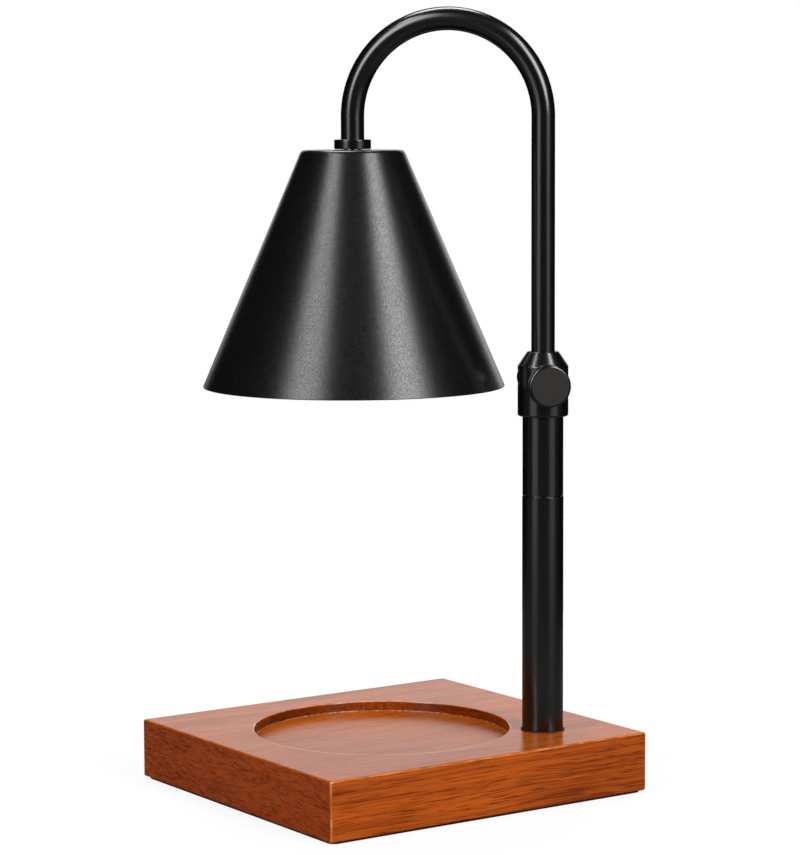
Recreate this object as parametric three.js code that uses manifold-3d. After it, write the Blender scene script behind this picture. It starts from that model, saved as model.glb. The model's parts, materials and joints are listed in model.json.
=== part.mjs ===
// Candle warmer lamp: a wooden base with a round recess for the candle jar, a two-part post, a clamp
// collar with a lock knob, and a bent arm that carries a conical shade over a twist-lock bulb.
// Millimetres, +Z up. The origin is the centre of the underside, and +X runs along the long side.
import * as THREE from 'three';
import { mergeVertices } from 'three/addons/utils/BufferGeometryUtils.js';
import Module from 'manifold-3d';

const wasm = await Module();
wasm.setup();

// Driving dimensions
const baseLength = 151.5;
const baseWidth = 140.5;
const woodThickness = 23.6;
const lowerTubeLength = 94.5;
const upperTubeShown = 31.7;
const armReach = 77;
const armRise = 93.6;
const armAzimuth = THREE.MathUtils.degToRad(134);
const knobAzimuth = THREE.MathUtils.degToRad(244.3);
const shadeHeight = 94.8;
const shadeTopRadius = 21;
const shadeToCollar = 6.1;

// Clearances and cutting
const gap = 0.3;
const overrun = 1;

// Roundness of the turned pieces, in steps of a full turn
const wideSteps = 64;
const tubeSteps = 32;
const smallSteps = 16;
const arcSteps = 3;

// Pad, wood and candle recess
const padThickness = 0.8;
const padInset = 1.4;
const padCornerRadius = 3;
const woodCornerRadius = 1.8;
const woodEdgeRadius = 1.2;
const recessRadius = 51.6;
const recessDepth = 4.2;
const recessLipRadius = 0.6;
const recessOffset = new THREE.Vector2(-4.15, 0.85);
const postInset = new THREE.Vector2(29.9, 29.5);

// Wiring pocket under the wood, its cover and its screws
const pocketWidth = 29;
const pocketFront = 14.5;
const pocketBack = 48.5;
const pocketDepth = 14.5;
const pocketCornerRadius = 6;
const coverThickness = 1.2;
const coverSideMargin = 3;
const coverEndMargin = 9;
const coverScrewSpread = 22;
const coverScrewHeadRadius = 2.8;
const coverScrewRadius = 1.5;
const coverScrewLength = 8;
const screwSlotWidth = 0.8;
const screwSlotDepth = 0.6;

// Rear cord gland and terminal block
const glandNeckRadius = 4;
const glandBoreRadius = 2.5;
const glandFlangeRadius = 6.5;
const glandFlangeThickness = 2;
const glandInnerReach = 1;
const glandHeight = 7;
const terminalWidth = 16;
const terminalLength = 20;
const terminalHeight = 11;
const terminalOffset = 33;
const terminalScrewRadius = 1.8;
const terminalScrewLength = 3.2;
const terminalScrewPitch = 8;

// Post: gasket, hollow nipple with washer and nut, foot plug, tubes and joiner
const gasketRadius = 8.85;
const gasketThickness = 0.5;
const nippleRadius = 5;
const nippleWall = 1.4;
const nippleTail = 1;
const nippleGrip = 12;
const nippleHoleClearance = 0.5;
const washerRadius = 12;
const washerThickness = 1.6;
const nutAcrossFlats = 14;
const nutHeight = 3.5;
const plugHeight = 14;
const lowerTubeRadius = 8.25;
const upperTubeRadius = 8.15;
const tubeWall = 1;
const joinerLength = 25;
const joinerWall = 0.8;

// Collar, its screw, and the split bush in it
const collarRadius = 10.1;
const collarHeight = 20.1;
const collarConeHeight = 5.7;
const collarTopRadius = 6.2;
const collarFootRadius = 0.8;
const collarGrip = 18.9;
const collarScrewHeight = 15.7;
const collarScrewHeadRadius = 3;
const collarScrewDome = 0.85;
const collarScrewSeatDepth = 0.7;
const collarScrewShankRadius = 2;
const bushFlangeThickness = 1.5;
const bushLength = 18.5;
const bushSlit = 1.2;

// Lock knob, its screw and its pad
const knobHeight = 12.9;
const knobRadius = 8.6;
const knobFaceRadius = 7.8;
const knobThickness = 4.4;
const knobBevel = 0.7;
const knobBackChamfer = 0.4;
const knobStandoff = 0.5;
const knobBoreDepth = 3;
const lockScrewRadius = 2.5;
const padTipRadius = 2.3;
const padTipLength = 1;

// Arm: tube, stop ring, grommet and leads
const armRadius = 4.7;
const armWall = 0.9;
const armTail = 66.8;
const armSides = 16;
const archSteps = 26;
const stopRingHeight = 8;
const grommetNeck = 6;
const grommetFlange = 1.2;
const leadRadius = 1.6;
const leadSides = 8;
const leadArchSteps = 20;
const armLeadTail = 5;
const postLeadFoot = 11;
const leadBendRadius = 4;
const leadBendSteps = 5;
const leadRun = 0.5;

// Shade and what holds it on the arm
const shadeWall = 1;
const shadeEdgeRadius = 1.8;
const shadeHemThickness = 1;
const shadeHemHeight = 3;
const shadeDrop = 13.8;
const shadeCollarRadius = 7.4;
const shadeCollarHeight = 4.1;
const shadeCollarEdge = 0.4;
const shadeNippleWall = 0.9;
const shadeNippleGrip = 12;
const shadeNippleTail = 1.5;
const shadeWasherRadius = 11;
const shadeWasherThickness = 1;
const shadeNutAcrossFlats = 11;
const shadeNutHeight = 4;

// Stirrup bracket and lamp socket
const stirrupThickness = 1.2;
const stirrupWidth = 9;
const stirrupLegOverlap = 8;
const stirrupScrewDrop = 4.5;
const stirrupScrewRadius = 1.5;
const stirrupScrewHeadRadius = 2.8;
const stirrupScrewHeadHeight = 1.8;
const stirrupScrewBite = 3;
const socketSpace = 2.8;
const socketRadius = 14;
const socketRoof = 5.5;
const socketChamberRadius = 9;
const socketChamberHeight = 4.5;
const socketWeb = 3;
const socketSkirt = 9;
const contactLength = 6;
const contactWidth = 3.4;
const contactThickness = 0.8;

// Bulb
const bulbTwist = THREE.MathUtils.degToRad(20);
const pinSpacing = 10;
const pinStemRadius = 1.6;
const pinHeadRadius = 2.5;
const pinSeatDepth = 2;
const capRadius = 10.5;
const capHeight = 8.3;
const bulbLength = 50;
const reflectorNeckRadius = 9;
const reflectorRimRadius = 25;
const reflectorWall = 1.2;
const reflectorNeckThickness = 1.5;
const reflectorLipHeight = 4;
const reflectorSteps = 6;
const lensThickness = 2.2;
const capsuleRadius = 4;
const capsuleLength = 18;

// Levels above the ground, and the axis of the post
const woodTop = padThickness + woodThickness;
const pocketCeiling = padThickness + pocketDepth;
const tubeFoot = woodTop + gasketThickness;
const jointLevel = tubeFoot + lowerTubeLength;
const collarFoot = jointLevel + gap + upperTubeShown;
const upperTubeTop = collarFoot + collarGrip;
const collarTop = collarFoot + collarHeight + collarConeHeight;
const knobLevel = collarFoot + knobHeight;
const armFoot = collarFoot - armTail;
const archLevel = collarTop + armRise;
const shadeTop = archLevel - shadeDrop;
const postPlace = new THREE.Vector2(baseLength / 2 - postInset.x, postInset.y - baseWidth / 2);

// Radii that follow from the pieces around them. The shade's rim reaches up to a clearance from the
// collar, so that it can pass in front of it.
const shadeRimRadius = armReach - collarRadius - shadeToCollar;
const tubeBoreRadius = upperTubeRadius - tubeWall;
const joinerRadius = Math.min(tubeBoreRadius, lowerTubeRadius - tubeWall) - gap;
const bushRadius = tubeBoreRadius - gap;
const armBoreRadius = armRadius - armWall;
const leadHoleRadius = leadRadius + gap;
const shadeNippleRadius = armBoreRadius - gap;
const postHoleRadius = nippleRadius + nippleHoleClearance;

// Materials
const blackMetal = new THREE.MeshStandardMaterial({ color: 0x0d0d0d, roughness: 0.42, metalness: 0.7 });
const blackPowder = new THREE.MeshStandardMaterial({ color: 0x131312, roughness: 0.55, metalness: 0.4 });
const knobGrey = new THREE.MeshStandardMaterial({ color: 0x383533, roughness: 0.6, metalness: 0.3 });
const wood = new THREE.MeshStandardMaterial({ color: 0x9a4a26, roughness: 0.35, metalness: 0 });
const blackRubber = new THREE.MeshStandardMaterial({ color: 0x111111, roughness: 0.9, metalness: 0 });
const steel = new THREE.MeshStandardMaterial({ color: 0xb4b6b8, roughness: 0.35, metalness: 1 });
const brass = new THREE.MeshStandardMaterial({ color: 0xc9a24a, roughness: 0.3, metalness: 1 });
const nylon = new THREE.MeshStandardMaterial({ color: 0xe4e1d8, roughness: 0.5, metalness: 0 });
const ceramic = new THREE.MeshStandardMaterial({ color: 0xf0ede4, roughness: 0.4, metalness: 0 });
const silicone = new THREE.MeshStandardMaterial({ color: 0xd9d4c8, roughness: 0.6, metalness: 0 });
const mirror = new THREE.MeshStandardMaterial({ color: 0xd8d8da, roughness: 0.12, metalness: 1 });
const clearGlass = new THREE.MeshStandardMaterial({
  color: 0xe8eef0, roughness: 0.05, metalness: 0, transparent: true, opacity: 0.4,
});

// A named mesh
function piece(name, geometry, material) {
  const mesh = new THREE.Mesh(geometry, material);
  mesh.name = name;
  return mesh;
}

// A point of an outline: distance from the axis, and height
function at(radius, height) {
  return new THREE.Vector2(radius, height);
}

// Points along an arc of an outline, from one angle to another, both ends included
function arcPoints(centre, radius, from, to, steps = arcSteps) {
  const points = [];
  for (let step = 0; step <= steps; step += 1) {
    const angle = from + ((to - from) * step) / steps;
    points.push(at(centre.x + radius * Math.cos(angle), centre.y + radius * Math.sin(angle)));
  }
  return points;
}

// A body of revolution about +Z; its outline runs upwards on the outside
function turned(outline, steps = smallSteps) {
  return new THREE.LatheGeometry(outline, steps).rotateX(Math.PI / 2);
}

// A solid cylinder on +Z
function rod(radius, bottom, top, steps = smallSteps) {
  return turned([at(0, bottom), at(radius, bottom), at(radius, top), at(0, top)], steps);
}

// A ring or tube on +Z
function ring(outer, inner, bottom, top, steps = smallSteps) {
  const start = at(inner, bottom);
  return turned([start, at(outer, bottom), at(outer, top), at(inner, top), start], steps);
}

// A box given by its lowest and highest corners
function block(low, high) {
  const size = new THREE.Vector3().subVectors(high, low);
  const middle = new THREE.Vector3().addVectors(low, high).multiplyScalar(1 / 2);
  return new THREE.BoxGeometry(size.x, size.y, size.z).translate(middle.x, middle.y, middle.z);
}

// Outline of a rectangle with round corners
function roundedRectangle(lowX, lowY, highX, highY, radius) {
  const shape = new THREE.Shape();
  shape.absarc(highX - radius, lowY + radius, radius, -Math.PI / 2, 0);
  shape.absarc(highX - radius, highY - radius, radius, 0, Math.PI / 2);
  shape.absarc(lowX + radius, highY - radius, radius, Math.PI / 2, Math.PI);
  shape.absarc(lowX + radius, lowY + radius, radius, Math.PI, (3 * Math.PI) / 2);
  shape.closePath();
  return shape;
}

// A flat plate with the given outline
function plate(shape, bottom, top) {
  const options = { depth: top - bottom, bevelEnabled: false, curveSegments: arcSteps };
  return new THREE.ExtrudeGeometry(shape, options).translate(0, 0, bottom);
}

// The closed mesh of a geometry as a solid for cutting
function solid(geometry) {
  const bare = geometry.clone();
  bare.deleteAttribute('normal');
  bare.deleteAttribute('uv');
  const merged = mergeVertices(bare);
  const corners = merged.index.array;
  const triangles = [];
  for (let first = 0; first < corners.length; first += 3) {
    const [a, b, c] = corners.slice(first, first + 3);
    if (a !== b && b !== c && c !== a) triangles.push(a, b, c);
  }
  return new wasm.Manifold(new wasm.Mesh({
    numProp: 3,
    vertProperties: new Float32Array(merged.attributes.position.array),
    triVerts: new Uint32Array(triangles),
  }));
}

// A geometry with others cut away from it
function cut(geometry, cutters) {
  const body = cutters.reduce((rest, cutter) => rest.subtract(solid(cutter)), solid(geometry));
  const mesh = body.getMesh();
  const result = new THREE.BufferGeometry();
  result.setAttribute('position', new THREE.BufferAttribute(mesh.vertProperties, 3));
  result.setIndex(new THREE.BufferAttribute(mesh.triVerts, 1));
  result.computeVertexNormals();
  return result;
}

// A cylinder that points away from the post, at a level and in a direction
function radialRod(radius, from, to, level, azimuth) {
  return rod(radius, from, to).rotateY(Math.PI / 2).rotateZ(azimuth).translate(0, 0, level);
}

// A straight run, a bend towards +X and another straight run, all in the XZ plane, from the origin
// up. The steps are spent on the bend, and each straight run is one step.
class BentPath extends THREE.Curve {
  constructor(runIn, radius, sweep, runOut, bendSteps) {
    super();
    Object.assign(this, { runIn, radius, sweep, runOut, bendSteps, steps: bendSteps + 2 });
  }

  angleAt(t) {
    const bent = THREE.MathUtils.clamp(t * this.steps - 1, 0, this.bendSteps);
    return (this.sweep * bent) / this.bendSteps;
  }

  getTangent(t, target = new THREE.Vector3()) {
    const angle = this.angleAt(t);
    return target.set(Math.sin(angle), 0, Math.cos(angle));
  }

  getPoint(t, target = new THREE.Vector3()) {
    const angle = this.angleAt(t);
    const before = Math.min(t * this.steps, 1) * this.runIn;
    const after = Math.max(t * this.steps - 1 - this.bendSteps, 0) * this.runOut;
    const x = this.radius * (1 - Math.cos(angle));
    const z = before + this.radius * Math.sin(angle);
    return target.set(x, 0, z).addScaledVector(this.getTangent(t), after);
  }

  getUtoTmapping(u) {
    return u;
  }
}

// A tube or, with no bore, a lead along a path
function tubeAlong(path, radius, boreRadius, sides) {
  const section = new THREE.Shape().absarc(0, 0, radius, 0, 2 * Math.PI);
  if (boreRadius > 0) section.holes.push(new THREE.Path().absarc(0, 0, boreRadius, 0, 2 * Math.PI));
  return new THREE.ExtrudeGeometry(section, {
    steps: path.steps, extrudePath: path, curveSegments: sides / 2,
  });
}

// A hexagon nut on +Z
function hexNut(acrossFlats, boreRadius, bottom, top) {
  const outline = arcPoints(at(0, 0), acrossFlats / Math.sqrt(3), 0, 2 * Math.PI, 6).slice(1);
  const shape = new THREE.Shape(outline);
  shape.holes.push(new THREE.Path().absarc(0, 0, boreRadius, 0, 2 * Math.PI));
  const options = { depth: top - bottom, bevelEnabled: false, curveSegments: smallSteps / 2 };
  return new THREE.ExtrudeGeometry(shape, options).translate(0, 0, bottom);
}

// A straight slot across a screw head whose top is at a level
function driverSlot(radius, top) {
  const half = screwSlotWidth / 2;
  const low = new THREE.Vector3(-radius - overrun, -half, top - screwSlotDepth);
  return block(low, new THREE.Vector3(radius + overrun, half, top + overrun));
}

// Base

const pocketLow = at(postPlace.x - pocketWidth / 2, postPlace.y - pocketFront);
const pocketHigh = at(postPlace.x + pocketWidth / 2, postPlace.y + pocketBack);
const coverLow = at(pocketLow.x - coverSideMargin, pocketLow.y - coverEndMargin);
const coverHigh = at(pocketHigh.x + coverSideMargin, pocketHigh.y + coverEndMargin);

function coverScrewPlaces() {
  const places = [];
  for (const y of [pocketLow.y - coverEndMargin / 2, pocketHigh.y + coverEndMargin / 2]) {
    for (const side of [-1, 1]) places.push(at(postPlace.x + (side * coverScrewSpread) / 2, y));
  }
  return places;
}

function basePad() {
  const x = baseLength / 2 - padInset;
  const y = baseWidth / 2 - padInset;
  const shape = roundedRectangle(-x, -y, x, y, padCornerRadius);
  return piece('base_pad', plate(shape, 0, padThickness), blackRubber);
}

function recessCutter() {
  const floor = woodTop - recessDepth;
  const lip = at(recessRadius + recessLipRadius, woodTop - recessLipRadius);
  const flare = arcPoints(lip, recessLipRadius, Math.PI, Math.PI / 2);
  const top = woodTop + overrun;
  const outline = [at(0, floor), at(recessRadius, floor), ...flare, at(lip.x, top), at(0, top)];
  return turned(outline, wideSteps).translate(recessOffset.x, recessOffset.y, 0);
}

function woodBase() {
  const x = baseLength / 2 - woodEdgeRadius;
  const y = baseWidth / 2 - woodEdgeRadius;
  const outline = roundedRectangle(-x, -y, x, y, Math.max(woodCornerRadius - woodEdgeRadius, 0));
  const body = new THREE.ExtrudeGeometry(outline, {
    depth: woodThickness - 2 * woodEdgeRadius,
    bevelThickness: woodEdgeRadius,
    bevelSize: woodEdgeRadius,
    bevelSegments: arcSteps,
    curveSegments: arcSteps,
  }).translate(0, 0, padThickness + woodEdgeRadius);
  const below = padThickness - overrun;
  const pocketShape = roundedRectangle(
    pocketLow.x, pocketLow.y, pocketHigh.x, pocketHigh.y, pocketCornerRadius,
  );
  const rebateShape = roundedRectangle(
    coverLow.x - gap, coverLow.y - gap, coverHigh.x + gap, coverHigh.y + gap, padCornerRadius,
  );
  const glandHole = rod(glandNeckRadius + gap, pocketHigh.x - overrun, baseLength / 2 + overrun)
    .rotateY(Math.PI / 2).translate(0, postPlace.y, padThickness + glandHeight);
  const screwTop = padThickness + coverScrewLength + gap;
  const screwHoles = coverScrewPlaces().map(
    (place) => rod(coverScrewRadius + gap, below, screwTop).translate(place.x, place.y, 0),
  );
  return piece('wood_base', cut(body, [
    recessCutter(),
    plate(pocketShape, below, pocketCeiling),
    plate(rebateShape, below, padThickness + coverThickness + gap),
    rod(postHoleRadius, below, woodTop + overrun).translate(postPlace.x, postPlace.y, 0),
    glandHole,
    ...screwHoles,
  ]), wood);
}

function coverScrewOutline(clearance) {
  const head = coverScrewHeadRadius + clearance;
  const shank = coverScrewRadius + clearance;
  return { head, shank, headEnd: head - shank };
}

function coverPlate() {
  const shape = roundedRectangle(coverLow.x, coverLow.y, coverHigh.x, coverHigh.y, padCornerRadius);
  const { head, shank, headEnd } = coverScrewOutline(gap);
  const sink = turned([
    at(0, -overrun), at(head, -overrun), at(head, 0), at(shank, headEnd),
    at(shank, headEnd + coverThickness), at(0, headEnd + coverThickness),
  ]);
  const sinks = coverScrewPlaces().map((place) => sink.clone().translate(place.x, place.y, padThickness));
  return piece('cover_plate', cut(plate(shape, padThickness, padThickness + coverThickness), sinks), steel);
}

function coverScrew(place, number) {
  const { head, shank, headEnd } = coverScrewOutline(0);
  const outline = [
    at(0, 0), at(head, 0), at(shank, headEnd), at(shank, coverScrewLength), at(0, coverScrewLength),
  ];
  const slot = driverSlot(head, 0).rotateX(Math.PI);
  const screw = piece(`cover_screw_${number + 1}`, cut(turned(outline), [slot]), steel);
  screw.position.set(place.x, place.y, padThickness);
  return screw;
}

function cordGland() {
  const inside = pocketHigh.x - glandInnerReach;
  const wall = baseLength / 2;
  const outside = wall + gap + glandFlangeThickness;
  const edge = glandFlangeThickness / 2;
  const rounding = arcPoints(at(glandFlangeRadius - edge, outside - edge), edge, 0, Math.PI / 2);
  const outline = [
    at(glandBoreRadius, inside), at(glandNeckRadius, inside), at(glandNeckRadius, wall + gap),
    at(glandFlangeRadius, wall + gap), ...rounding, at(glandBoreRadius, outside), at(glandBoreRadius, inside),
  ];
  const gland = piece('cord_gland', turned(outline).rotateY(Math.PI / 2), blackRubber);
  gland.position.set(0, postPlace.y, padThickness + glandHeight);
  return gland;
}

function terminalScrewPlaces() {
  const y = postPlace.y + terminalOffset;
  return [-1, 1].map((side) => at(postPlace.x + (side * terminalScrewPitch) / 2, y));
}

function terminalBlock() {
  const top = pocketCeiling - gap;
  const half = at(terminalWidth / 2, terminalLength / 2);
  const y = postPlace.y + terminalOffset;
  const low = new THREE.Vector3(postPlace.x - half.x, y - half.y, top - terminalHeight);
  const high = new THREE.Vector3(postPlace.x + half.x, y + half.y, top);
  const holes = terminalScrewPlaces().map((place) => (
    rod(terminalScrewRadius + gap, low.z - overrun, low.z + terminalScrewLength + 2 * gap)
      .translate(place.x, place.y, 0)
  ));
  return piece('terminal_block', cut(block(low, high), holes), nylon);
}

function terminalScrew(place, number) {
  const bottom = pocketCeiling - gap - terminalHeight + gap;
  const slot = driverSlot(terminalScrewRadius, -bottom).rotateX(Math.PI);
  const body = rod(terminalScrewRadius, bottom, bottom + terminalScrewLength);
  const screw = piece(`terminal_screw_${number + 1}`, cut(body, [slot]), brass);
  screw.position.set(place.x, place.y, 0);
  return screw;
}

// The lead under the post: it comes down out of the nipple and turns towards the terminal block
function baseLead() {
  const drop = postLeadFoot - gap;
  const reach = terminalOffset - terminalLength / 2 - gap;
  const path = new BentPath(leadRun, leadBendRadius, Math.PI / 2, reach - leadBendRadius, leadBendSteps);
  const lead = piece('base_lead', tubeAlong(path, leadRadius, 0, leadSides), silicone);
  lead.rotation.set(Math.PI, 0, -Math.PI / 2);
  lead.position.set(postPlace.x, postPlace.y, drop);
  return lead;
}

// Post, in a frame on the post's axis

function postGasket() {
  return piece('post_gasket', ring(gasketRadius, postHoleRadius, woodTop, tubeFoot, tubeSteps), blackRubber);
}

const washerTop = pocketCeiling - gap;
const nutTop = washerTop - washerThickness - gap;
const nippleFoot = nutTop - nutHeight - nippleTail;

function postNipple() {
  const bore = nippleRadius - nippleWall;
  return piece('post_nipple', ring(nippleRadius, bore, nippleFoot, tubeFoot + nippleGrip), steel);
}

function nippleWasher() {
  const bottom = washerTop - washerThickness;
  return piece('nipple_washer', ring(washerRadius, nippleRadius + gap, bottom, washerTop), steel);
}

function nippleNut() {
  return piece('nipple_nut', hexNut(nutAcrossFlats, nippleRadius + gap, nutTop - nutHeight, nutTop), steel);
}

function footPlug() {
  const radius = lowerTubeRadius - tubeWall - gap;
  const bottom = tubeFoot + gap;
  return piece('foot_plug', ring(radius, nippleRadius + gap, bottom, bottom + plugHeight), steel);
}

function lowerTube() {
  const bore = lowerTubeRadius - tubeWall;
  return piece('lower_tube', ring(lowerTubeRadius, bore, tubeFoot, jointLevel, tubeSteps), blackMetal);
}

function postJoiner() {
  const bore = joinerRadius - joinerWall;
  const low = jointLevel - joinerLength / 2;
  return piece('post_joiner', ring(joinerRadius, bore, low, low + joinerLength), steel);
}

// The screw and the pad pass through the tube and the collar in one line
function lockBore() {
  return radialRod(lockScrewRadius + gap, bushRadius / 2, collarRadius + overrun, knobLevel, knobAzimuth);
}

const collarScrewLevel = collarFoot + collarScrewHeight;
const collarScrewAzimuth = knobAzimuth - Math.PI / 2;
const collarScrewSeat = collarRadius - collarScrewSeatDepth;

function collarScrewBore() {
  const radius = collarScrewShankRadius + gap;
  return radialRod(radius, bushRadius / 2, collarRadius, collarScrewLevel, collarScrewAzimuth);
}

function upperTube() {
  const body = ring(upperTubeRadius, tubeBoreRadius, jointLevel + gap, upperTubeTop, tubeSteps);
  return piece('upper_tube', cut(body, [lockBore(), collarScrewBore()]), blackMetal);
}

function collar() {
  const bore = upperTubeRadius + gap;
  const ceiling = upperTubeTop + gap + bushFlangeThickness + gap;
  const shoulder = collarFoot + collarHeight;
  const mouth = armRadius + gap;
  const foot = at(collarRadius - collarFootRadius, collarFoot + collarFootRadius);
  const outline = [
    at(bore, collarFoot), ...arcPoints(foot, collarFootRadius, -Math.PI / 2, 0),
    at(collarRadius, shoulder), at(collarTopRadius, collarTop), at(mouth, collarTop),
    at(mouth, ceiling), at(bore, ceiling), at(bore, collarFoot),
  ];
  const seatRadius = collarScrewHeadRadius + gap;
  const seatEnd = collarRadius + overrun;
  const seat = radialRod(seatRadius, collarScrewSeat, seatEnd, collarScrewLevel, collarScrewAzimuth);
  const body = turned(outline, tubeSteps);
  return piece('collar', cut(body, [lockBore(), collarScrewBore(), seat]), blackMetal);
}

// A low domed screw that holds the collar on the tube; its axis is +Z here
function collarScrew() {
  const seat = collarScrewSeat + gap;
  const tip = bushRadius + gap;
  const crown = seat + collarScrewDome;
  const sphere = (collarScrewHeadRadius ** 2 + collarScrewDome ** 2) / (2 * collarScrewDome);
  const half = Math.asin(collarScrewHeadRadius / sphere);
  const dome = arcPoints(at(0, crown - sphere), sphere, Math.PI / 2 - half, Math.PI / 2);
  dome[dome.length - 1].x = 0;
  const outline = [
    at(0, tip), at(collarScrewShankRadius, tip), at(collarScrewShankRadius, seat), ...dome,
  ];
  return piece('collar_screw', turned(outline), blackMetal);
}

// Split sleeve that the arm slides in; it turns with the arm
function armBush() {
  const flangeFoot = upperTubeTop + gap;
  const top = flangeFoot + bushFlangeThickness;
  const bottom = top - bushLength;
  const bore = armRadius + gap;
  const body = turned([
    at(bore, bottom), at(bushRadius, bottom), at(bushRadius, flangeFoot), at(upperTubeRadius, flangeFoot),
    at(upperTubeRadius, top), at(bore, top), at(bore, bottom),
  ], tubeSteps);
  const low = new THREE.Vector3(0, -bushSlit / 2, bottom - overrun);
  const slit = block(low, new THREE.Vector3(upperTubeRadius + overrun, bushSlit / 2, top + overrun));
  return piece('arm_bush', cut(body, [slit]), nylon);
}

// Knob, screw and pad, turned about +Z, which points away from the post

const padTipStart = bushRadius + gap;
const knobBack = collarRadius + knobStandoff;

function clampPad() {
  return piece('clamp_pad', rod(padTipRadius, padTipStart, padTipStart + padTipLength), brass);
}

function lockScrew() {
  const start = padTipStart + padTipLength + gap;
  return piece('lock_screw', rod(lockScrewRadius, start, knobBack + knobBoreDepth - gap), steel);
}

function lockKnob() {
  const front = knobBack + knobThickness;
  const bore = lockScrewRadius + gap;
  const boreEnd = knobBack + knobBoreDepth;
  return piece('lock_knob', turned([
    at(0, boreEnd), at(bore, boreEnd), at(bore, knobBack), at(knobRadius - knobBackChamfer, knobBack),
    at(knobRadius, knobBack + knobBackChamfer), at(knobRadius, front - knobBevel),
    at(knobFaceRadius, front), at(0, front),
  ], tubeSteps), knobGrey);
}

// Arm, in a frame on the post's axis with the arch towards +X

function armPath(foot, tip, bendSteps) {
  return new BentPath(archLevel - foot, armReach / 2, Math.PI, archLevel - tip, bendSteps);
}

function armTube() {
  const path = armPath(armFoot, shadeTop + gap, archSteps);
  const tube = piece('arm_tube', tubeAlong(path, armRadius, armBoreRadius, armSides), blackMetal);
  tube.position.z = armFoot;
  return tube;
}

// Stop under the bush; it still passes through the joiner
function armStopRing() {
  const radius = joinerRadius - joinerWall - gap;
  return piece('arm_stop_ring', ring(radius, armRadius + gap, armFoot, armFoot + stopRingHeight), steel);
}

function armGrommet() {
  const neck = armBoreRadius - gap;
  const top = armFoot - gap;
  const outline = [
    at(leadHoleRadius, top - grommetFlange), at(armRadius, top - grommetFlange), at(armRadius, top),
    at(neck, top), at(neck, top + grommetNeck), at(leadHoleRadius, top + grommetNeck),
    at(leadHoleRadius, top - grommetFlange),
  ];
  return piece('arm_grommet', turned(outline), nylon);
}

const socketTop = -shadeWall - shadeWasherThickness - stirrupThickness - shadeNutHeight - shadeNippleTail
  - 4 * gap - socketSpace;

function armLead() {
  const foot = armFoot - armLeadTail;
  const path = armPath(foot, shadeTop + socketTop - socketRoof / 2, leadArchSteps);
  const lead = piece('arm_lead', tubeAlong(path, leadRadius, 0, leadSides), silicone);
  lead.position.z = foot;
  return lead;
}

function postLead() {
  const top = armFoot - armLeadTail - gap;
  return piece('post_lead', rod(leadRadius, postLeadFoot, top, leadSides), silicone);
}

// Shade and its fixings, in a frame on the shade's axis with its top at zero

const shadeHalfAngle = Math.atan2(shadeRimRadius - shadeTopRadius, shadeHeight);
const shadeSlopeShare = Math.tan(shadeHalfAngle);

// Outline point of a line parallel to the shade's outer face, a depth inside it
function shadeFace(height, depth) {
  return at(shadeTopRadius - height * shadeSlopeShare - depth / Math.cos(shadeHalfAngle), height);
}

function shade() {
  const hole = shadeNippleRadius + gap;
  const centre = shadeFace(-shadeEdgeRadius, shadeEdgeRadius);
  const outerEdge = arcPoints(centre, shadeEdgeRadius, shadeHalfAngle, Math.PI / 2);
  const innerEdge = arcPoints(centre, shadeEdgeRadius - shadeWall, Math.PI / 2, shadeHalfAngle);
  const hemTop = -shadeHeight + shadeHemHeight;
  const hemDepth = shadeWall + shadeHemThickness;
  const start = shadeFace(-shadeHeight, hemDepth);
  return piece('shade', turned([
    start, shadeFace(-shadeHeight, 0), ...outerEdge, at(hole, 0), at(hole, -shadeWall),
    ...innerEdge, shadeFace(hemTop, shadeWall), shadeFace(hemTop, hemDepth), start,
  ], wideSteps), blackPowder);
}

function shadeCollar() {
  const bore = armRadius + gap;
  return piece('shade_collar', turned([
    at(bore, gap), at(shadeCollarRadius - shadeCollarEdge, gap), at(shadeCollarRadius, gap + shadeCollarEdge),
    at(shadeCollarRadius, shadeCollarHeight - shadeCollarEdge),
    at(shadeCollarRadius - shadeCollarEdge, shadeCollarHeight), at(bore, shadeCollarHeight), at(bore, gap),
  ], tubeSteps), blackMetal);
}

const shadeWasherTop = -shadeWall - gap;
const stirrupTop = shadeWasherTop - shadeWasherThickness - gap;
const shadeNutTop = stirrupTop - stirrupThickness - gap;
const shadeNippleFoot = shadeNutTop - shadeNutHeight - shadeNippleTail;

function shadeNipple() {
  const bore = shadeNippleRadius - shadeNippleWall;
  return piece('shade_nipple', ring(shadeNippleRadius, bore, shadeNippleFoot, gap + shadeNippleGrip), steel);
}

function shadeWasher() {
  const bore = shadeNippleRadius + gap;
  const bottom = shadeWasherTop - shadeWasherThickness;
  return piece('shade_washer', ring(shadeWasherRadius, bore, bottom, shadeWasherTop), steel);
}

function shadeNut() {
  const bottom = shadeNutTop - shadeNutHeight;
  return piece('shade_nut', hexNut(shadeNutAcrossFlats, shadeNippleRadius + gap, bottom, shadeNutTop), steel);
}

// Stirrup bracket that carries the socket

const stirrupScrewLevel = socketTop - stirrupScrewDrop;
const stirrupInner = socketRadius + gap;
const stirrupOuter = stirrupInner + stirrupThickness;

function stirrupScrewBore(side) {
  const from = socketRadius - stirrupScrewBite - gap;
  return radialRod(stirrupScrewRadius + gap, from, stirrupOuter + overrun, stirrupScrewLevel, side);
}

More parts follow.
